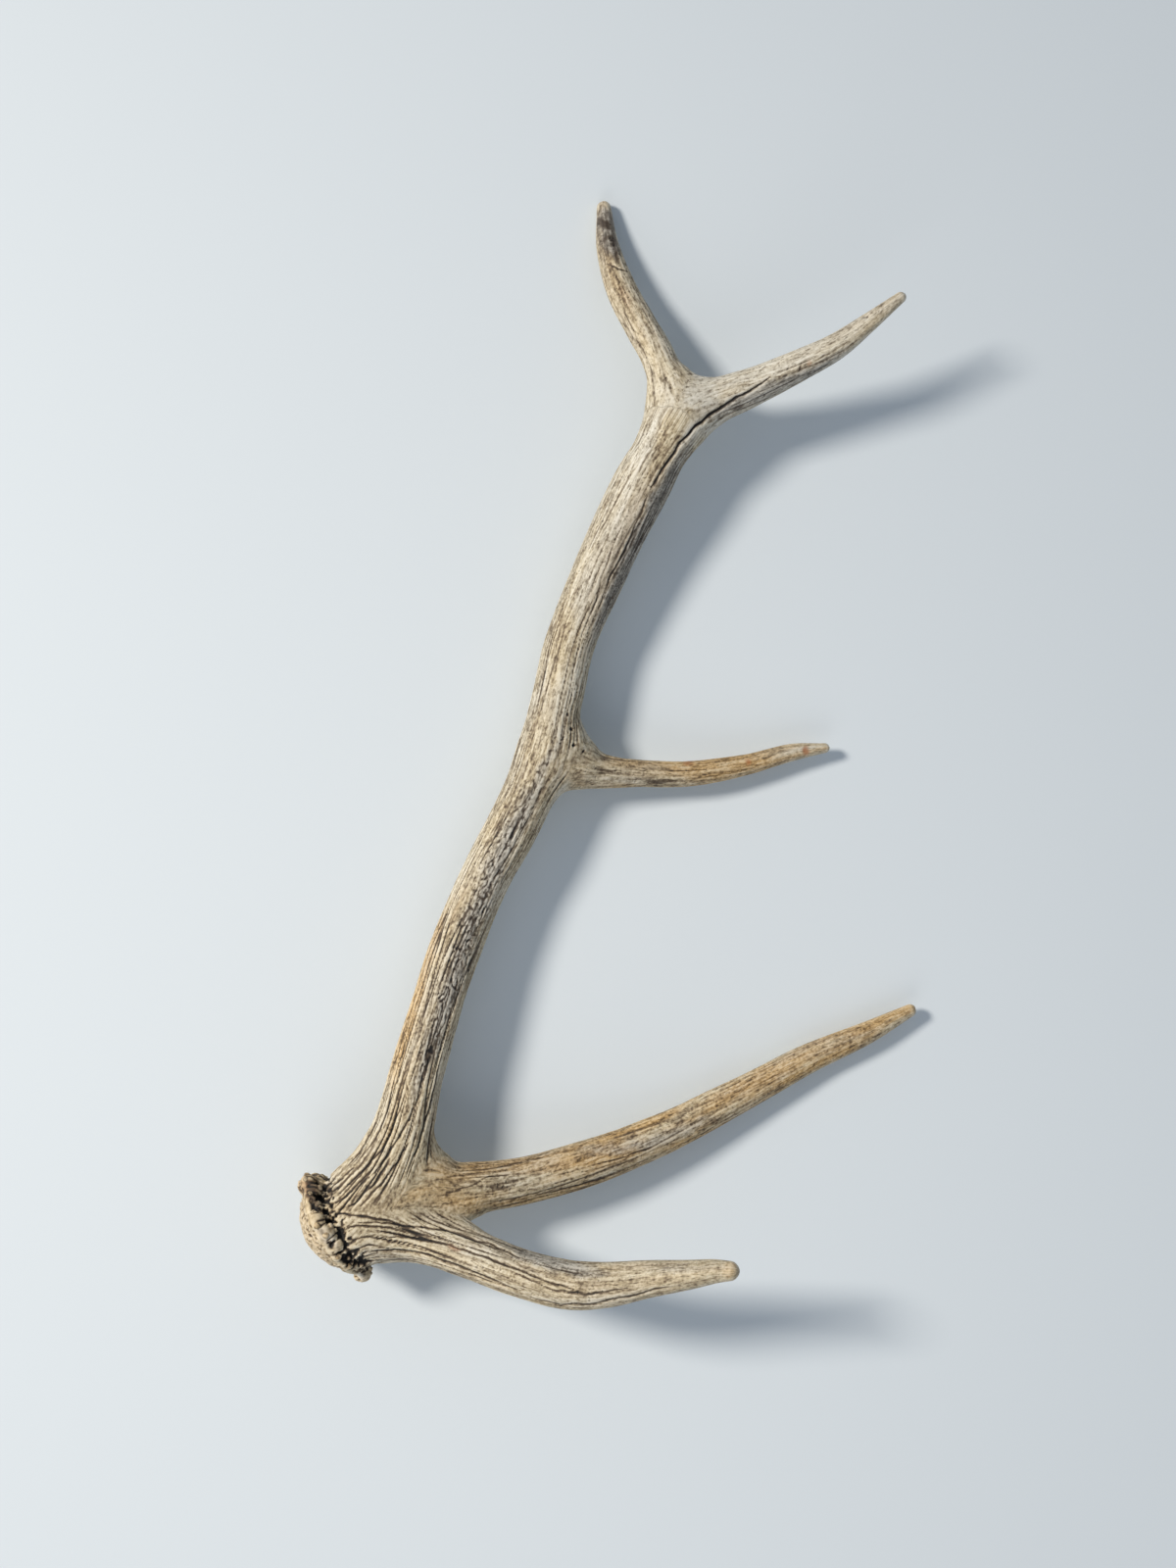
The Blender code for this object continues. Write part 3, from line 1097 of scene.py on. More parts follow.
BRANCHES = [
    Branch("beam", BEAM, Grain(
        22, 5.6, 150, (2.0, 0.75, 0.4),
        {Tint.PALE: (0.1, 0.85), Tint.OCHRE: (0.3, 0.0), Tint.GREY: (0.25, 0.3), Tint.PEARLED: (0.25, 0.0)},
        11,
    )),
    Branch("brow", BROW, Grain(
        20, 5.6, 130, (1.8, 0.7, 0.12),
        {Tint.GREY: (0.25, 0.4), Tint.OCHRE: (0.1, 0.3), Tint.PALE: (0.4, 0.2)}, 12,
    )),
    Branch("bez", BEZ, Grain(
        17, 7.0, 100, (0.9, 0.45, 0.15),
        {Tint.OCHRE: (0.75, 1.1), Tint.GREY: (0.25, 0.3), Tint.PALE: (0.05, 0.0)}, 13,
    )),
    Branch("trez", TREZ, Grain(
        11, 6.0, 80, (0.8, 0.4, 0.15),
        {Tint.OCHRE: (0.6, 0.9), Tint.GREY: (0.3, 0.1), Tint.PALE: (0.3, 0.5)}, 14,
    )),
    Branch("crown_back", CROWN_BACK, Grain(
        13, 6.0, 90, (0.6, 0.45, 0.25),
        {Tint.PALE: (0.8, 0.2), Tint.OCHRE: (0.1, 0.35), Tint.GREY: (0.2, 0.4)}, 15,
    )),
    Branch("crown_front", CROWN_FRONT, Grain(
        13, 6.5, 110, (0.6, 0.35, 0.1),
        {Tint.PALE: (1.0, 0.5), Tint.OCHRE: (0.05, 0.2), Tint.GREY: (0.35, 0.4)}, 16,
    )),
]
BURR = Burr(np.array([-225.0, -370.0, 45.0]), np.array([0.85, 0.50, 0.32]))

# Seen in plan: what time and weather have left on the side that faces up, and bands of painted shade.
MARKS = (
    # The long crack from the beam into the crown's front tine, and its faint start lower down.
    Mark(((17, 196), (30, 217), (39, 230), (50, 243), (72, 258), (94, 272), (108, 281)),
         2.6, 1.9, Tint.DIRT_AND_SHADE, 1.9),
    Mark(((-22, 103), (-13, 128), (-1, 149), (10, 179), (19, 199)), 1.8, 0.6, Tint.DIRT_AND_SHADE, 1.0),
    Mark(((-30, 88), (-20, 128), (-6, 166)), 1.4, 0.4, Tint.DIRT_AND_SHADE, 0.8),
    # Deep furrows from the burr into the beam.
    Mark(((-222, -353), (-205, -333), (-188, -314), (-175, -294), (-162, -268)), 2.0, 1.6, Tint.DIRT_AND_SHADE, 0.9),
    Mark(((-227, -346), (-209, -329), (-193, -310), (-182, -290), (-172, -262)), 1.9, 1.5, Tint.DIRT_AND_SHADE, 0.8),
    Mark(((-209, -350), (-192, -333), (-180, -318), (-171, -303)), 1.9, 1.4, Tint.DIRT_AND_SHADE, 0.8),
    Mark(((-174, -330), (-166, -312), (-158, -290), (-150, -262), (-145, -240)), 1.9, 1.4, Tint.DIRT_AND_SHADE, 0.95),
    Mark(((-233, -341), (-224, -333), (-213, -323)), 1.8, 1.3, Tint.DIRT_AND_SHADE, 0.9),
    Mark(((-230, -349), (-220, -343), (-209, -333), (-199, -322)), 1.8, 1.4, Tint.DIRT_AND_SHADE, 0.9),
    Mark(((-225, -353), (-213, -347), (-199, -335), (-190, -322), (-186, -313)), 1.8, 1.3, Tint.DIRT_AND_SHADE, 0.8),
    # Deep furrows from the burr along the brow tine.
    Mark(((-236, -356), (-222, -356), (-204, -358), (-185, -362), (-167, -368)), 1.9, 1.5, Tint.DIRT_AND_SHADE, 0.9),
    Mark(((-225, -368), (-211, -364), (-196, -365), (-181, -369), (-167, -374)), 1.8, 1.2, Tint.DIRT_AND_SHADE, 0.8),
    Mark(((-220, -377), (-207, -373), (-192, -375), (-178, -380), (-167, -383)), 1.7, 1.1, Tint.DIRT_AND_SHADE, 0.75),
    Mark(((-214, -384), (-203, -380), (-185, -383)), 1.7, 1.0, Tint.DIRT_AND_SHADE, 0.75),
    Mark(((-212, -362), (-196, -362), (-177, -365), (-148, -369), (-119, -377), (-91, -389)),
         1.9, 1.2, Tint.DIRT_AND_SHADE, 0.9),
    Mark(((-204, -372), (-172, -375), (-142, -380), (-112, -390), (-76, -404), (-50, -412)),
         2.2, 1.4, Tint.DIRT_AND_SHADE, 0.75),
    Mark(((-188, -384), (-160, -388), (-134, -396), (-104, -408)), 2.2, 1.3, Tint.DIRT_AND_SHADE, 0.8),
    Mark(((-84, -418), (-60, -424), (-36, -422), (-8, -414), (20, -407)), 2.4, 1.0, Tint.DIRT_AND_SHADE, 1.0),
    Mark(((-95, -400), (-66, -412), (-40, -414), (-14, -408)), 2.2, 0.8, Tint.DIRT_AND_SHADE, 0.8),
    # Dry cracks along the bez tine.
    Mark(((-149, -348), (-131, -342), (-107, -335), (-76, -331)), 1.5, 0.45, Tint.DIRT_AND_SHADE, 0.5),
    Mark(((-146, -333), (-122, -332), (-100, -335)), 1.5, 0.45, Tint.DIRT_AND_SHADE, 0.5),
    Mark(((-30, -331), (2, -325), (20, -319)), 1.6, 0.7, Tint.DIRT_AND_SHADE, 1.0),
    Mark(((-70, -352), (-30, -345), (6, -336)), 1.5, 0.6, Tint.DIRT_AND_SHADE, 0.9),
    # The pearled, weather-grey band along the lower beam.
    Mark(((-173, -279), (-160, -246), (-142, -198), (-123, -139), (-100, -86), (-73, -34), (-52, 4)),
         21, 0.0, Tint.PEARLED, 1.15),
    Mark(((-170, -275), (-158, -246), (-141, -198), (-121, -139), (-98, -86), (-71, -34), (-50, 10)),
         19, 0.0, Tint.GREY, 1.0),
    Mark(((-185, -268), (-176, -232), (-165, -195), (-154, -158), (-140, -125)), 13, 0.0, Tint.OCHRE, 1.0),
    # Painted shade, with some weather grey, on the beam's shaded flank and on into the crown, and along the
    # shaded lower side of the crown's front tine.
    Mark(((-28, 72), (-10, 116), (9, 158), (30, 200), (50, 236)), 17, 0.0, Tint.GREY, 1.2),
    Mark(((-26, 71), (-8, 115), (12, 157), (33, 199), (54, 235)), 13, 0.0, Tint.DIRT_AND_SHADE, 0.5),
    Mark(((-36, 60), (-20, 112), (0, 158), (22, 200), (44, 232)), 26, 0.0, Tint.OCHRE, 0.45),
    Mark(((-36, 60), (-20, 112), (0, 158), (22, 200), (44, 232)), 24, 0.0, Tint.GREY, 0.5),
    Mark(((58, 246), (78, 259), (108, 271), (136, 284), (162, 299)), 12, 0.0, Tint.GREY, 1.2),
    # Stains on the tines.
    Mark(((62, -290), (117, -268), (175, -243)), 17, 0.0, Tint.OCHRE, 1.1),
    Mark(((-40, -322), (20, -316), (80, -296)), 13, 0.0, Tint.GREY, 0.7),
    Mark(((8, -29), (26, -31), (41, -31)), 5, 0.3, Tint.DIRT_AND_SHADE, 0.95),
    Mark(((101, -14), (106, -18)), 6, 0.0, Tint.RUST, 1.0),
    Mark(((150, -6), (156, -7)), 7, 0.3, Tint.RUST, 1.2),
    Mark(((50, -18), (60, -17)), 5, 0.0, Tint.RUST, 0.8),
    Mark(((-145, -380), (-134, -384)), 5, 0.0, Tint.RUST, 0.7),
    Mark(((-120, -371), (-83, -387), (-55, -396), (-25, -398)), 15, 0.0, Tint.GREY, 1.0),
    Mark(((54, -396), (68, -395)), 12, 0.0, Tint.OCHRE, 0.6),
    Mark(((61, -390), (66, -391)), 4, 0.0, Tint.RUST, 0.4),
    # The crown's back tine is darker and greyer towards its tip.
    Mark(((-12, 428), (-11, 410), (-9, 394), (-3, 374)), 16, 0.0, Tint.DIRT_AND_SHADE, 1.35),
    Mark(((-12, 426), (-11, 410), (-9, 396), (-5, 380)), 17, 0.0, Tint.GREY, 1.3),
    Mark(((-11, 375), (-2, 370), (6, 369)), 1.8, 0.6, Tint.DIRT_AND_SHADE, 1.1),
    Mark(((-3, 360), (7, 336)), 14, 0.0, Tint.RUST, 0.28),
    Mark(((-5, 382), (-4, 385)), 3.0, 0.3, Tint.DIRT_AND_SHADE, 1.0),
    Mark(((4, 377), (6, 375)), 3.0, 0.3, Tint.DIRT_AND_SHADE, 1.0),
    Mark(((129, 288), (131, 288)), 4.5, 0.7, Tint.DIRT_AND_SHADE, 1.3),
    Mark(((134, 290), (138, 293)), 5, 0.0, Tint.RUST, 0.6),
    Mark(((182, 325), (206, 342)), 12, 0.0, Tint.DIRT_AND_SHADE, 0.45),
    Mark(((176, 328), (181, 325)), 4.0, 1.3, Tint.PALE, 0.8),
    # Pores in the web of the trez tine.
    Mark(((-44, 10), (-43, 7)), 2.6, 1.6, Tint.DIRT_AND_SHADE, 1.8),
    Mark(((-41, -2), (-41, -4)), 3.2, 1.8, Tint.DIRT_AND_SHADE, 1.9),
    Mark(((-34, -8), (-33, -9)), 2.6, 1.4, Tint.DIRT_AND_SHADE, 1.6),
    Mark(((-47, 22), (-46, 18)), 1.8, 1.0, Tint.DIRT_AND_SHADE, 1.3),
    # Webs that years of rubbing have left smooth.
    Mark(((-160, -335), (-150, -338), (-132, -342)), 26, 0.0, Tint.WORN, 0.65),
    Mark(((-36, -12), (-20, -20)), 24, 0.0, Tint.WORN, 0.7),
    Mark(((40, 262), (56, 268), (66, 272)), 26, 0.0, Tint.WORN, 0.8),
    Mark(((40, 262), (56, 268), (70, 274)), 30, 0.0, Tint.PALE, 1.2),
    # The burr's top knob, broken and brown, and its pale ones.
    Mark(((-256, -342), (-246, -338), (-236, -336)), 20, 0.0, Tint.DIRT_AND_SHADE, 1.3),
    Mark(((-256, -342), (-246, -338), (-236, -336)), 18, 0.0, Tint.RUST, 0.5),
    Mark(((-243, -361), (-236, -371), (-228, -379)), 8, 0.0, Tint.PALE, 1.0),
    Mark(((-206, -411), (-204, -404)), 10, 0.0, Tint.PALE, 0.9),
    Mark(((-207, -396), (-204, -394)), 8, 0.0, Tint.DIRT_AND_SHADE, 1.0),
)


@dataclass(frozen=True)
class Fork:
    """A fork's parting line: a place on a branch, past which the bone belongs to the next piece.

    Args:
        branch: The branch that is parted.
        place: A point near the parting.
        piece: The node that lies beyond it.
    """

    branch: str
    place: tuple[float, float, float]
    piece: str

    def along(self, branch: Branch) -> float:
        """How far along the branch the parting lies."""
        nearest = np.linalg.norm(branch.middle - np.array(self.place), axis=1).argmin()
        return float(branch.along[nearest])


FORKS = (
    Fork("beam", (-169, -279, 46), "lower_beam"),
    Fork("beam", (-89, -70, 36), "upper_beam"),
    Fork("brow", (-135, -387, 74), "brow_tine"),
    Fork("bez", (-118, -347, 42), "bez_tine"),
    Fork("trez", (5, -25, 27), "trez_tine"),
    Fork("crown_back", (24, 306, 37), "crown_back_tine"),
    Fork("crown_front", (90, 273, 60), "crown_front_tine"),
)
ROOTS = {
    "beam": "burr_and_base",
    "brow": "burr_and_base",
    "bez": "burr_and_base",
    "trez": "upper_beam",
    "crown_back": "upper_beam",
    "crown_front": "upper_beam",
}
SLOTS = {
    "burr_and_base": "burr_bone",
    "brow_tine": "tine_bone",
    "bez_tine": "tine_bone",
    "lower_beam": "beam_bone",
    "upper_beam": "beam_bone",
    "trez_tine": "tine_bone",
    "crown_back_tine": "tine_bone",
    "crown_front_tine": "tine_bone",
}


def add_node(tree: bpy.types.NodeTree, kind: str, inputs: dict | None = None, **settings) -> bpy.types.Node:
    """Adds a node with its settings and links.

    Args:
        tree: The tree that it goes in.
        kind: The node's type name.
        inputs: Values or other nodes' outputs, by an input's name or number.
        settings: The node's own properties.

    Returns:
        The new node.
    """
    node = tree.nodes.new(kind)
    for name, value in settings.items():
        setattr(node, name, value)
    for key, given in (inputs or {}).items():
        if isinstance(given, bpy.types.NodeSocket):
            tree.links.new(given, node.inputs[key])
        else:
            node.inputs[key].default_value = given
    return node


@dataclass(frozen=True)
class Fibre:
    """One size of streak or speckle in the bone.

    Args:
        across: Its width, in millimetres.
        along: Its length, in millimetres, or 0 for speckle that runs no way.
        share: How much of the bone's tone it makes.
        detail: How many finer sizes it carries.
    """

    across: float
    along: float
    share: float
    detail: float


@dataclass(frozen=True)
class WeatheredAntler:
    """Dry shed antler that has lain outdoors, as it grew: bare bone with no coat of any kind.

    The eye sees chalky cream ridges, tan and grey hollows with painted shade in them, black painted shade
    with some grime in the cracks, and a faint polish only where the tips were rubbed.

    Args:
        warm: The bone's own tones, from its darkest streak to its palest.
        cool: The same where weather has greyed it, and where shade is painted on the beam's flank and the
            front tine's lower side.
        tan: The same where tannin has stained it, and in a band of painted shade on the beam's flank.
        chalk: The same where sun has bleached it.
        rust: The tone of its orange spots.
        soil: The brown that lies in hollows, as soil and as painted shade.
        crevice: The black of the deepest ones, which is painted shade with some grime.
        fibres: The sizes of streak and speckle: two drawn out, a finer one, and two that run no way.
        contrast: How near to the middle the noise is stretched to full dark and full pale.
    """

    name: str = "weathered_antler"
    warm: tuple[str, ...] = ("5c4c3a", "8e7d63", "b3a486", "cec0a2", "ded3b9")
    cool: tuple[str, ...] = ("3d3b38", "6b6862", "938f87", "b3afa6", "c8c4ba")
    tan: tuple[str, ...] = ("533d22", "86693c", "b18e58", "cdab75", "dcc092")
    chalk: tuple[str, ...] = ("807868", "aea695", "cfc9ba", "e0dccf", "eae7dd")
    rust: str = "a8602a"
    soil: str = "4c3d2e"
    crevice: str = "120e0a"
    fibres: tuple[Fibre, ...] = (
        Fibre(4.5, 50.0, 0.18, 2.0),
        Fibre(1.8, 10.0, 0.30, 3.0),
        Fibre(1.1, 3.6, 0.22, 2.0),
        Fibre(2.2, 0.0, 0.22, 3.0),
        Fibre(24.0, 0.0, 0.08, 2.0),
    )
    contrast: float = 0.14

    GLOSS = (0.74, 0.5)
    REFRACTION = 1.54
    STREAK_SHARE = 0.11
    DIRT_AND_SHADE_SHARE = -0.1
    PORE = 1.1
    STAIN_LIMITS = (0.55, 1.35, 0.9)
    RUST_LIMITS = (0.15, 1.0, 0.7)
    FLECK_LIMITS = (0.215, 0.13, 0.6)
    SOIL_AND_SHADE_LIMITS = (0.5, 1.25, 0.85)
    CREVICE_LIMITS = (1.15, 1.75, 1.0)

    def material(self) -> bpy.types.Material:
        """Builds the material from the skin's attributes.

        Returns:
            The finished material.
        """
        made = bpy.data.materials.new(self.name)
        made.use_nodes = True
        tree = made.node_tree
        tree.nodes.clear()
        tones = {
            tint: add_node(tree, "ShaderNodeAttribute", attribute_name=tint.value).outputs["Fac"]
            for tint in Tint
        }
        along = add_node(tree, "ShaderNodeAttribute", attribute_name="grain").outputs["Vector"]
        place = add_node(tree, "ShaderNodeTexCoord").outputs["Object"]
        layers = [self.layer(tree, fibre, along, place) for fibre in self.fibres]
        tone = self.tone(tree, layers, tones)
        colour = self.colour(tree, tone, layers, tones)
        bump = self.bump(tree, layers, place)
        gloss = add_node(
            tree,
            "ShaderNodeMapRange",
            {"Value": tones[Tint.WORN], "To Min": self.GLOSS[0], "To Max": self.GLOSS[1]},
        )
        shader = add_node(
            tree,
            "ShaderNodeBsdfPrincipled",
            {"Base Color": colour, "Roughness": gloss.outputs[0], "IOR": self.REFRACTION, "Normal": bump},
        )
        add_node(tree, "ShaderNodeOutputMaterial", {"Surface": shader.outputs[0]})
        return made

    def layer(
        self,
        tree: bpy.types.NodeTree,
        fibre: Fibre,
        along: bpy.types.NodeSocket,
        place: bpy.types.NodeSocket,
    ) -> bpy.types.NodeSocket:
        """Adds the noise of one size of streak or speckle.

        Args:
            tree: The material's tree.
            fibre: The size.
            along: The surface's own coordinates, drawn out along the branch.
            place: The piece's coordinates.

        Returns:
            The noise.
        """
        across = 1 / (fibre.across * MM)
        down = 1 / (fibre.along * MM) if fibre.along else across
        source = along if fibre.along else place
        drawn = add_node(tree, "ShaderNodeMapping", {"Vector": source, "Scale": (across, across, down)})
        noise = add_node(
            tree,
            "ShaderNodeTexNoise",
            {"Vector": drawn.outputs[0], "Scale": 1.0, "Detail": fibre.detail, "Roughness": 0.6},
        )
        return noise.outputs["Fac"]

    def tone(
        self,
        tree: bpy.types.NodeTree,
        layers: list[bpy.types.NodeSocket],
        tones: dict[Tint, bpy.types.NodeSocket],
    ) -> bpy.types.NodeSocket:
        """Adds the streaks up and stretches them to the run of the tones.

        Args:
            tree: The material's tree.
            layers: The noises.
            tones: The skin's attributes.

        Returns:
            The tone, 0 at its darkest and 1 at its palest.
        """
        total = add_node(
            tree,
            "ShaderNodeMath",
            {0: tones[Tint.STREAK], 1: self.STREAK_SHARE, 2: 0.0},
            operation="MULTIPLY_ADD",
        ).outputs[0]
        for noise, fibre in zip(layers, self.fibres):
            total = add_node(
                tree,
                "ShaderNodeMath",
                {0: noise, 1: fibre.share, 2: total},
                operation="MULTIPLY_ADD",
            ).outputs[0]
        total = add_node(
            tree,
            "ShaderNodeMath",
            {0: tones[Tint.DIRT_AND_SHADE], 1: self.DIRT_AND_SHADE_SHARE, 2: total},
            operation="MULTIPLY_ADD",
        ).outputs[0]
        limits = {"Value": total, "From Min": 0.5 - self.contrast, "From Max": 0.5 + self.contrast * 0.8}
        return add_node(tree, "ShaderNodeMapRange", limits).outputs[0]

    def ramp(
        self, tree: bpy.types.NodeTree, tone: bpy.types.NodeSocket, shades: tuple[str, ...]
    ) -> bpy.types.NodeSocket:
        """Adds a run of shades from dark to pale.

        Args:
            tree: The material's tree.
            tone: Where on the run the surface is.
            shades: The shades, evenly spaced.

        Returns:
            The colour.
        """
        node = add_node(tree, "ShaderNodeValToRGB", {"Fac": tone})
        stops = node.color_ramp.elements
        for _ in shades[2:]:
            stops.new(0.5)
        for index, shade in enumerate(shades):
            stops[index].position = index / (len(shades) - 1)
            stops[index].color = linear(shade)
        return node.outputs["Color"]

    def over(
        self,
        tree: bpy.types.NodeTree,
        under: bpy.types.NodeSocket,
        top: bpy.types.NodeSocket | tuple[float, ...],
        share: bpy.types.NodeSocket,
        limits: tuple[float, float, float],
    ) -> bpy.types.NodeSocket:
        """Lays one colour over another where a tone is strong.

        Args:
            tree: The material's tree.
            under: The colour below.
            top: The colour to lay.
            share: The tone.
            limits: The tone at which it starts, the tone at which it is whole, and its most.

        Returns:
            The mixed colour.
        """
        start, whole, most = limits
        part = add_node(
            tree,
            "ShaderNodeMapRange",
            {"Value": share, "From Min": start, "From Max": whole, "To Max": most},
        )
        mixed = add_node(tree, "ShaderNodeMix", {0: part.outputs[0], 6: under, 7: top}, data_type="RGBA")
        return mixed.outputs[2]

    def colour(
        self,
        tree: bpy.types.NodeTree,
        tone: bpy.types.NodeSocket,
        layers: list[bpy.types.NodeSocket],
        tones: dict[Tint, bpy.types.NodeSocket],
    ) -> bpy.types.NodeSocket:
        """Builds the bone's colour: its own, then stains, then soil and painted shade in the hollows, black
        in the deepest.

        Args:
            tree: The material's tree.
            tone: The streaks' tone.
            layers: The noises that it is made of.
            tones: The skin's attributes.

        Returns:
            The colour.
        """
        colour = self.ramp(tree, tone, self.warm)
        for tint, shades in ((Tint.PALE, self.chalk), (Tint.OCHRE, self.tan), (Tint.GREY, self.cool)):
            ragged = add_node(
                tree,
                "ShaderNodeMath",
                {0: layers[1], 1: 0.9, 2: tones[tint]},
                operation="MULTIPLY_ADD",
            ).outputs[0]
            stain = self.ramp(tree, tone, shades)
            colour = self.over(tree, colour, stain, ragged, self.STAIN_LIMITS)
        colour = self.over(tree, colour, linear(self.rust), tones[Tint.RUST], self.RUST_LIMITS)
        flecks = add_node(
            tree,
            "ShaderNodeMath",
            {0: layers[2], 1: layers[1], 2: 0.0},
            operation="MULTIPLY_ADD",
        ).outputs[0]
        colour = self.over(tree, colour, linear(self.soil), flecks, self.FLECK_LIMITS)
        # Grime and painted shade, roughened by speckle, lay brown and then black.
        grit_and_shade = add_node(
            tree,
            "ShaderNodeMath",
            {0: layers[3], 1: 0.5, 2: tones[Tint.DIRT_AND_SHADE]},
            operation="MULTIPLY_ADD",
        ).outputs[0]
        colour = self.over(tree, colour, linear(self.soil), grit_and_shade, self.SOIL_AND_SHADE_LIMITS)
        return self.over(tree, colour, linear(self.crevice), grit_and_shade, self.CREVICE_LIMITS)

    def bump(
        self,
        tree: bpy.types.NodeTree,
        layers: list[bpy.types.NodeSocket],
        place: bpy.types.NodeSocket,
    ) -> bpy.types.NodeSocket:
        """Builds the finest relief, which is under the size of the mesh.

        Args:
            tree: The material's tree.
            layers: The noises of the streaks.
            place: The piece's coordinates.

        Returns:
            The surface's direction.
        """
        pores = add_node(
            tree,
            "ShaderNodeTexNoise",
            {"Vector": place, "Scale": 1 / (self.PORE * MM), "Detail": 2.0},
        )
        normal = None
        steps = ((layers[1], 0.7, 0.5), (layers[2], 0.6, 0.3), (pores.outputs[0], 0.5, 0.2))
        for height, strength, depth in steps:
            inputs = {"Height": height, "Strength": strength, "Distance": depth * MM}
            if normal is not None:
                inputs["Normal"] = normal
            normal = add_node(tree, "ShaderNodeBump", inputs).outputs[0]
        return normal


@dataclass
class BonePieces:
    """The skin, parted at the forks into the antler's named pieces.

    Args:
        skin: The whole skin.
        shift: From the form's own frame to the CAD's, in millimetres.
        finish: The material that the pieces share.
    """

    skin: Skin
    shift: Array
    finish: bpy.types.Material

    POLLS = 4

    def labels(self) -> Array:
        """Finds which piece each face of the skin belongs to, going by the faces round it as well.

        Returns:
            An index into SLOTS for each face.
        """
        nodes = list(SLOTS)
        owner = self.skin.felt.shares[:-1].argmax(0)
        label = np.zeros(len(self.skin.points), int)
        for index, branch in enumerate(self.skin.form.branches):
            label[owner == index] = nodes.index(ROOTS[branch.name])
            near = self.skin.felt.near[index]
            mine = owner[near.rows] == index
            along = np.zeros(len(self.skin.points))
            along[near.rows[mine]] = near.along[mine]
            for fork in FORKS:
                if fork.branch == branch.name:
                    label[(owner == index) & (along > fork.along(branch))] = nodes.index(fork.piece)
        faces = self.skin.faces
        votes = np.stack([(label[faces] == index).sum(1) for index in range(len(nodes))])
        for _ in range(self.POLLS):
            at_points = np.stack([
                np.bincount(faces.ravel(), np.repeat(vote, 4), len(self.skin.points)) for vote in votes
            ])
            votes = at_points[:, faces].sum(2)
        return votes.argmax(0)

    def close_ends(self, points: Array, local: Array) -> tuple[list[list[int]], Array]:
        """Closes each open end of a piece with a flat fan where the bone goes on in its neighbour.

        Args:
            points: The piece's points, in metres.
            local: Its four-cornered faces.

        Returns:
            Three-cornered faces, and the points to add for them.
        """
        edges = np.vstack([local[:, [i, (i + 1) % 4]] for i in range(4)]).astype(np.int64)
        keys = edges[:, 0] * len(points) + edges[:, 1]
        back = edges[:, 1] * len(points) + edges[:, 0]
        after: dict[int, list[int]] = {}
        for start, end in edges[~np.isin(keys, back)].tolist():
            after.setdefault(start, []).append(end)
        caps: list[list[int]] = []
        extra: list[Array] = []
        while after:
            start = next(iter(after))
            loop = [start]
            while True:
                ends = after[loop[-1]]
                step = ends.pop()
                if not ends:
                    del after[loop[-1]]
                if step == start:
                    break
                loop.append(step)
            tip = len(points) + len(extra)
            extra.append(points[loop].mean(0))
            caps.extend([b, a, tip] for a, b in zip(loop, loop[1:] + loop[:1]))
        return caps, np.array(extra).reshape(-1, 3)

    def build(self) -> None:
        """Makes each piece an object that stands for its CAD node."""
        labels = self.labels()
        for index, (node, slot) in enumerate(SLOTS.items()):
            chosen = self.skin.faces[labels == index]
            used, inverse = np.unique(chosen, return_inverse=True)
            local = inverse.reshape(-1, 4)
            points = (self.skin.points[used] + self.shift) * MM
            caps, extra = self.close_ends(points, local)
            mesh = bpy.data.meshes.new(node + "_bone")
            mesh.from_pydata(np.vstack([points, extra]).tolist(), [], local.tolist() + caps)
            mesh.update()
            mesh.shade_smooth()
            for tint, values in self.skin.tones.items():
                layer = mesh.attributes.new(tint.value, "FLOAT", "POINT")
                layer.data.foreach_set("value", np.concatenate([values[used], np.zeros(len(extra))]))
            layer = mesh.attributes.new("grain", "FLOAT_VECTOR", "POINT")
            vectors = np.vstack([self.skin.grain[used] * MM, np.zeros((len(extra), 3))])
            layer.data.foreach_set("vector", vectors.ravel())
            ends = np.tile(UP, (len(extra), 1))
            mesh.normals_split_custom_set_from_vertices(np.vstack([self.skin.normals[used], ends]).tolist())
            mesh.materials.append(self.finish)
            piece = bpy.data.objects.new(node + "_bone", mesh)
            bpy.context.scene.collection.objects.link(piece)
            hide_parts(node)
            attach(piece, "root")
            log.info("%s: %d faces", piece.name, len(mesh.polygons))


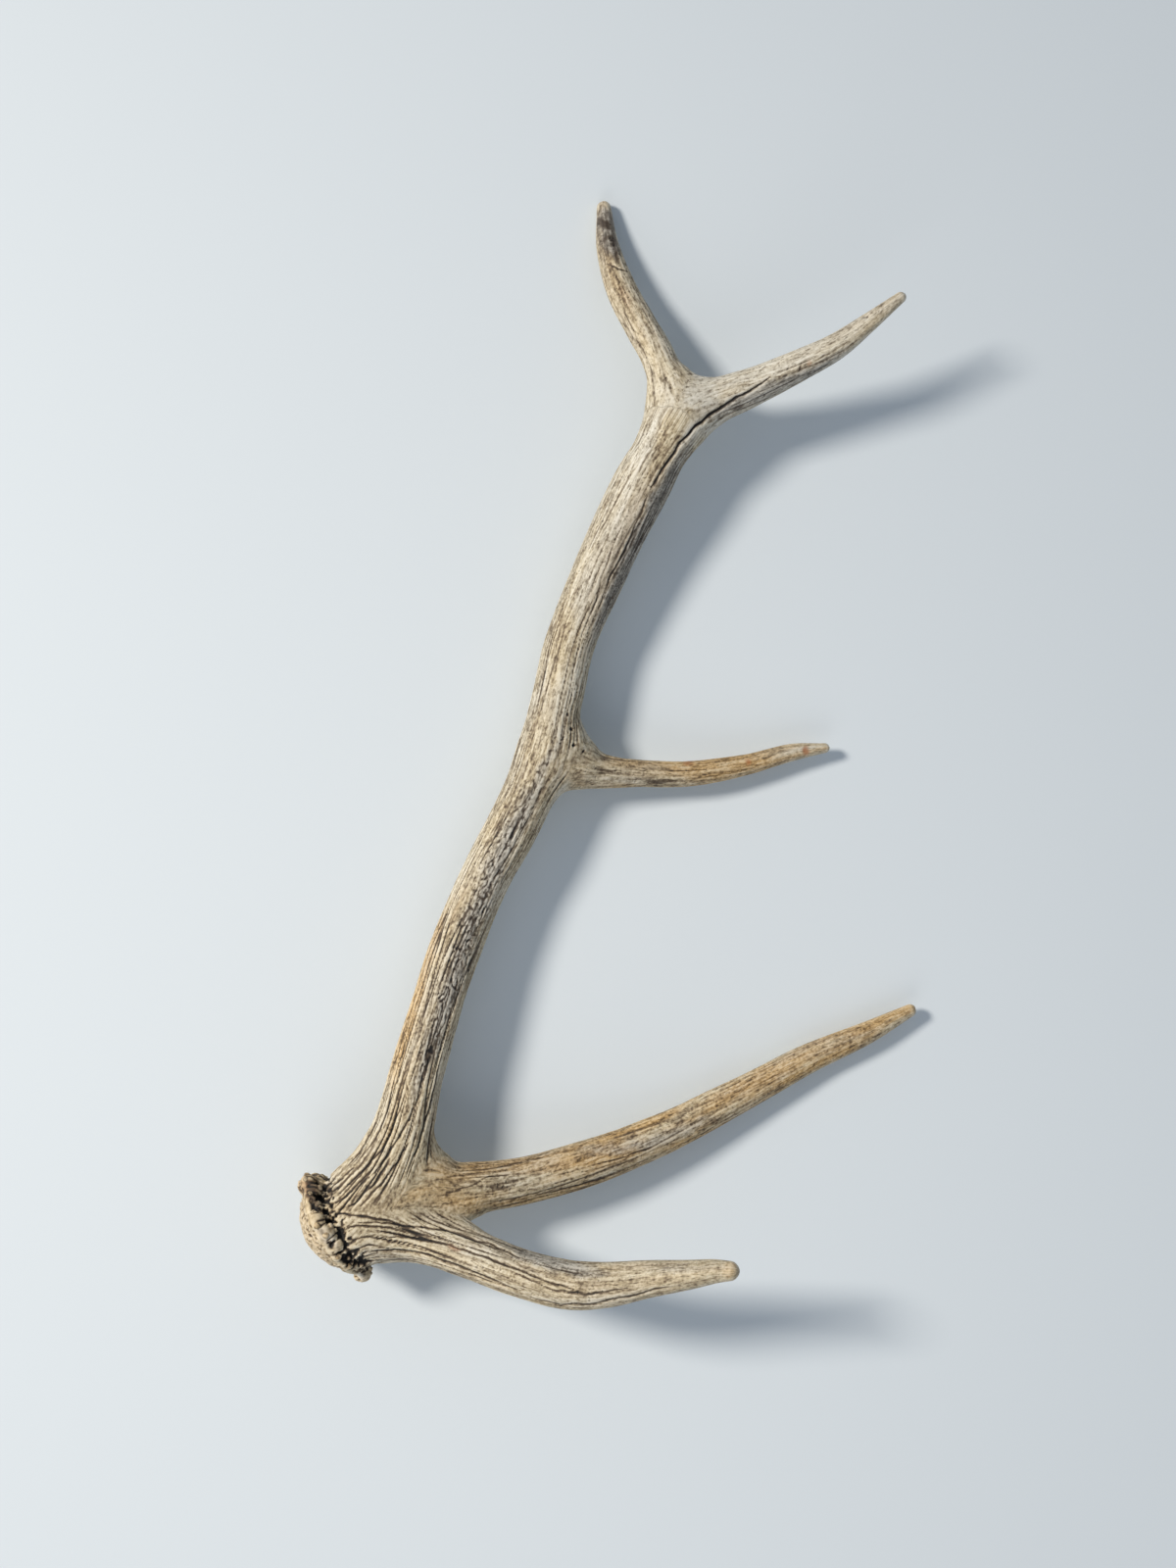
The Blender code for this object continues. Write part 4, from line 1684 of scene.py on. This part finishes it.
@dataclass
class BurrPearls:
    """The small pearls that crowd the burr's ring, strewn over it by a tree of geometry nodes.

    Args:
        skin: The whole skin.
        shift: From the form's own frame to the CAD's, in millimetres.
        finish: The material of the bone.
        spacing: The least distance between two pearls.
        crowding: Pearls to a square centimetre, before the spacing thins them out.
        radius: A middling pearl's radius.
        smallest: The smallest one's share of that.
        largest: The largest one's share.
        depth: How far its middle sits under the ring's skin.
        seed: Picks their places and sizes.
    """

    skin: Skin
    shift: Array
    finish: bpy.types.Material
    spacing: float = 4.8
    crowding: float = 1.4
    radius: float = 2.4
    smallest: float = 0.6
    largest: float = 1.2
    depth: float = 1.0
    seed: int = 4

    BED_HEIGHT = 10.0
    BED_WIDTH = 3.0
    LUMP = 3.0
    LUMP_DEPTH = 2.0
    BROKEN_KNOB = (-244.0, -339.0, 54.0)
    BROKEN_REACH = 13.0

    def bed(self) -> bpy.types.Object:
        """Copies the faces of the ring, which the pearls sit on.

        Returns:
            The bed's object.
        """
        burr = self.skin.form.burr
        out, height, _ = burr.locate(self.skin.points)
        good = (self.skin.felt.shares[-1] > 0.6) & (height > 0) & (height < self.BED_HEIGHT)
        good &= out > burr.ring_radius - self.BED_WIDTH
        chosen = self.skin.faces[good[self.skin.faces].all(1)]
        used, inverse = np.unique(chosen, return_inverse=True)
        points = (self.skin.points[used] - self.depth * self.skin.normals[used] + self.shift) * MM
        mesh = bpy.data.meshes.new("burr_pearls_bed")
        mesh.from_pydata(points.tolist(), [], inverse.reshape(-1, 4).tolist())
        bed = bpy.data.objects.new("burr_pearls_bed", mesh)
        bpy.context.scene.collection.objects.link(bed)
        return bed

    def tree(self) -> bpy.types.NodeTree:
        """Builds the tree: strew points on the bed, seat a pearl on each, and realize them.

        Returns:
            The node group.
        """
        tree = bpy.data.node_groups.new("strew_pearls", "GeometryNodeTree")
        face = tree.interface
        face.new_socket("Geometry", in_out="INPUT", socket_type="NodeSocketGeometry")
        for name in ("Spacing", "Crowding", "Pearl Radius", "Smallest", "Largest"):
            face.new_socket(name, in_out="INPUT", socket_type="NodeSocketFloat")
        face.new_socket("Seed", in_out="INPUT", socket_type="NodeSocketInt")
        face.new_socket("Finish", in_out="INPUT", socket_type="NodeSocketMaterial")
        face.new_socket("Geometry", in_out="OUTPUT", socket_type="NodeSocketGeometry")
        given = add_node(tree, "NodeGroupInput").outputs
        strewn = add_node(
            tree,
            "GeometryNodeDistributePointsOnFaces",
            {
                "Mesh": given["Geometry"],
                "Distance Min": given["Spacing"],
                "Density Max": given["Crowding"],
                "Seed": given["Seed"],
            },
            distribute_method="POISSON",
        )
        pearl = add_node(
            tree, "GeometryNodeMeshIcoSphere", {"Radius": given["Pearl Radius"], "Subdivisions": 3}
        )
        place = add_node(tree, "GeometryNodeInputPosition")
        lumpy = add_node(
            tree,
            "ShaderNodeTexNoise",
            {"Vector": place.outputs[0], "Scale": 1 / (self.LUMP * MM), "Detail": 1.0},
        )
        middling = add_node(
            tree,
            "ShaderNodeVectorMath",
            {0: lumpy.outputs["Color"], 1: (0.5, 0.5, 0.5)},
            operation="SUBTRACT",
        )
        push = add_node(
            tree,
            "ShaderNodeVectorMath",
            {0: middling.outputs[0], "Scale": self.LUMP_DEPTH * MM},
            operation="SCALE",
        )
        dented = add_node(
            tree, "GeometryNodeSetPosition", {"Geometry": pearl.outputs["Mesh"], "Offset": push.outputs[0]}
        )
        size = add_node(
            tree,
            "FunctionNodeRandomValue",
            {2: given["Smallest"], 3: given["Largest"], "Seed": given["Seed"]},
            data_type="FLOAT",
        )
        seated = add_node(
            tree,
            "GeometryNodeInstanceOnPoints",
            {
                "Points": strewn.outputs["Points"],
                "Instance": dented.outputs[0],
                "Rotation": strewn.outputs["Rotation"],
                "Scale": size.outputs[1],
            },
        )
        real = add_node(tree, "GeometryNodeRealizeInstances", {"Geometry": seated.outputs[0]})
        smooth = add_node(tree, "GeometryNodeSetShadeSmooth", {"Geometry": real.outputs[0]})
        dressed = add_node(
            tree,
            "GeometryNodeSetMaterial",
            {"Geometry": smooth.outputs[0], "Material": given["Finish"]},
        )
        add_node(tree, "NodeGroupOutput", {"Geometry": dressed.outputs[0]})
        return tree

    def build(self) -> None:
        """Runs the tree on the bed and makes its result a plain piece."""
        bed = self.bed()
        tree = self.tree()
        strew = bed.modifiers.new("strew", "NODES")
        strew.node_group = tree
        items = tree.interface.items_tree
        sockets = {item.name: item.identifier for item in items if item.in_out == "INPUT"}
        strew[sockets["Spacing"]] = self.spacing * MM
        strew[sockets["Crowding"]] = self.crowding * 10000
        strew[sockets["Pearl Radius"]] = self.radius * MM
        strew[sockets["Smallest"]] = self.smallest
        strew[sockets["Largest"]] = self.largest
        strew[sockets["Seed"]] = self.seed
        strew[sockets["Finish"]] = self.finish
        graph = bpy.context.evaluated_depsgraph_get()
        mesh = bpy.data.meshes.new_from_object(bed.evaluated_get(graph), depsgraph=graph)
        mesh.name = "burr_pearls"
        bpy.data.objects.remove(bed)
        piece = bpy.data.objects.new("burr_pearls", mesh)
        bpy.context.scene.collection.objects.link(piece)
        self.colour(mesh)
        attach(piece, "root")
        log.info("%s: %d faces", piece.name, len(mesh.polygons))

    def colour(self, mesh: bpy.types.Mesh) -> None:
        """Darkens the pearls at the foot, as painted shade where they meet the ring, with soil mottling,
        and by the broken knob.

        Args:
            mesh: The pearls' mesh.
        """
        places = np.empty(len(mesh.vertices) * 3, np.float32)
        mesh.vertices.foreach_get("co", places)
        points = places.reshape(-1, 3).astype(float) / MM - self.shift
        gap = self.skin.form.feel(points).gap
        away = np.linalg.norm(points - np.array(self.BROKEN_KNOB), axis=1)
        broken = bell(away, self.BROKEN_REACH)
        soil = PEARL_SOIL.at(points)
        mottle = PEARL_MOTTLE.at(points)
        tones = {
            # Painted shade at each pearl's foot, where it sinks into the ring, with soil mottling and the
            # broken knob's brown.
            Tint.DIRT_AND_SHADE: ease(gap, 0.8, -0.6) * 0.8 + 0.2 * soil + 0.6 * broken,
            Tint.PALE: 0.2 + 0.4 * mottle,
            Tint.OCHRE: 0.4 - 0.3 * mottle,
        }
        for tint, values in tones.items():
            layer = mesh.attributes.new(tint.value, "FLOAT", "POINT")
            layer.data.foreach_set("value", values.clip(-0.3, 1.8))
        layer = mesh.attributes.new("grain", "FLOAT_VECTOR", "POINT")
        layer.data.foreach_set("vector", (points * MM).ravel())


@dataclass(frozen=True)
class Lamp:
    """One studio light.

    Args:
        name: What it is called.
        place: Where it hangs, in metres from the middle of the floor.
        size: Its width, in metres.
        power: In watts.
        colour: Its sRGB colour.
        aim: The place on the floor that it points at.
        spread: How wide it opens, in degrees.
    """

    name: str
    place: tuple[float, float, float]
    size: float
    power: float
    colour: str
    aim: tuple[float, float, float] = (0.0, 0.0, 0.0)
    spread: float = 180.0


@dataclass
class Studio:
    """A plain pale floor, soft light from the upper left and a camera that looks down.

    Args:
        eye: Where the camera is, in the form's own frame.
        gaze: The way it looks.
        lens: Its focal length, in millimetres, for a sensor 36 mm along its longer side.
        floor_colour: The floor's own colour.
        lamps: The lights.
        sky: The colour and strength of the light from all round.
    """

    eye: tuple[float, float, float] = (-339.5, -20.1, 1851.6)
    gaze: tuple[float, float, float] = (0.16915, -0.00735, -0.98556)
    lens: float = 54.1
    floor_colour: str = "dfe8ef"
    lamps: tuple[Lamp, ...] = (
        Lamp("key", (-3.5, 1.2, 3.1), 0.95, 51.0, "fff6ea", (-0.2, -0.35, 0.0), 90.0),
        Lamp("fill", (-0.9, -2.4, 1.8), 2.0, 14.0, "fffaf4"),
    )
    sky: tuple[str, float] = ("d8e3f0", 0.36)

    FLOOR_HALF = 6.0
    SENSOR = 36.0

    def build(self, shift: Array) -> None:
        """Makes the floor, the lights, the world and the camera.

        Args:
            shift: From the form's own frame to the CAD's, in millimetres.
        """
        self.floor()
        self.lights()
        self.camera(shift)
        bpy.context.scene.view_settings.view_transform = "Standard"

    def floor(self) -> None:
        """Lays a wide plain floor of matt paper under the antler."""
        mesh = bpy.data.meshes.new("floor")
        far = self.FLOOR_HALF
        corners = [(-far, -far, 0), (far, -far, 0), (far, far, 0), (-far, far, 0)]
        mesh.from_pydata(corners, [], [(0, 1, 2, 3)])
        paper = bpy.data.materials.new("floor_paper")
        paper.use_nodes = True
        shader = paper.node_tree.nodes["Principled BSDF"]
        shader.inputs["Base Color"].default_value = linear(self.floor_colour)
        shader.inputs["Roughness"].default_value = 0.9
        mesh.materials.append(paper)
        floor = bpy.data.objects.new("floor", mesh)
        bpy.context.scene.collection.objects.link(floor)

    def lights(self) -> None:
        """Hangs the lights and fills the rest with a pale sky."""
        for given in self.lamps:
            lamp = bpy.data.lights.new(given.name, "AREA")
            lamp.shape = "DISK"
            lamp.size = given.size
            lamp.energy = given.power
            lamp.color = linear(given.colour)[:3]
            lamp.spread = math.radians(given.spread)
            light = bpy.data.objects.new(given.name, lamp)
            light.location = given.place
            turn = (Vector(given.aim) - Vector(given.place)).to_track_quat("-Z", "Y")
            light.rotation_euler = turn.to_euler()
            bpy.context.scene.collection.objects.link(light)
        world = bpy.data.worlds.new("pale_sky")
        world.use_nodes = True
        sky = world.node_tree.nodes["Background"]
        sky.inputs["Color"].default_value = linear(self.sky[0])
        sky.inputs["Strength"].default_value = self.sky[1]
        bpy.context.scene.world = world

    def camera(self, shift: Array) -> None:
        """Places the camera over the antler.

        Args:
            shift: From the form's own frame to the CAD's, in millimetres.
        """
        lens = bpy.data.cameras.new("camera")
        lens.lens = self.lens
        lens.sensor_width = self.SENSOR
        lens.dof.use_dof = False
        camera = bpy.data.objects.new("camera", lens)
        back = -Vector(self.gaze).normalized()
        right = Vector((0, 1, 0)).cross(back).normalized()
        top = back.cross(right)
        turn = Matrix((right, top, back)).transposed().to_4x4()
        camera.matrix_world = Matrix.Translation(Vector((np.array(self.eye) + shift) * MM)) @ turn
        bpy.context.scene.collection.objects.link(camera)
        bpy.context.scene.camera = camera


def main() -> None:
    """Builds the antler, its studio and its camera in order."""
    logging.basicConfig(level=logging.INFO, format="%(message)s")
    form = AntlerForm(BRANCHES, BURR)
    skin = Skin(form, MARKS, FINE_STEP)
    low = skin.points.min(0)
    high = skin.points.max(0)
    cad_low = np.array(CAD_BOX[0]) / MM
    cad_high = np.array(CAD_BOX[1]) / MM
    shift = np.array([*((cad_low + cad_high - low - high)[:2] / 2), cad_low[2] - low[2]])
    log.info("skin: %d faces, moved by %s mm", len(skin.faces), shift.round(2))
    bone = WeatheredAntler().material()
    BonePieces(skin, shift, bone).build()
    BurrPearls(skin, shift, bone).build()
    Studio().build(shift)


if __name__ == "__main__":
    main()
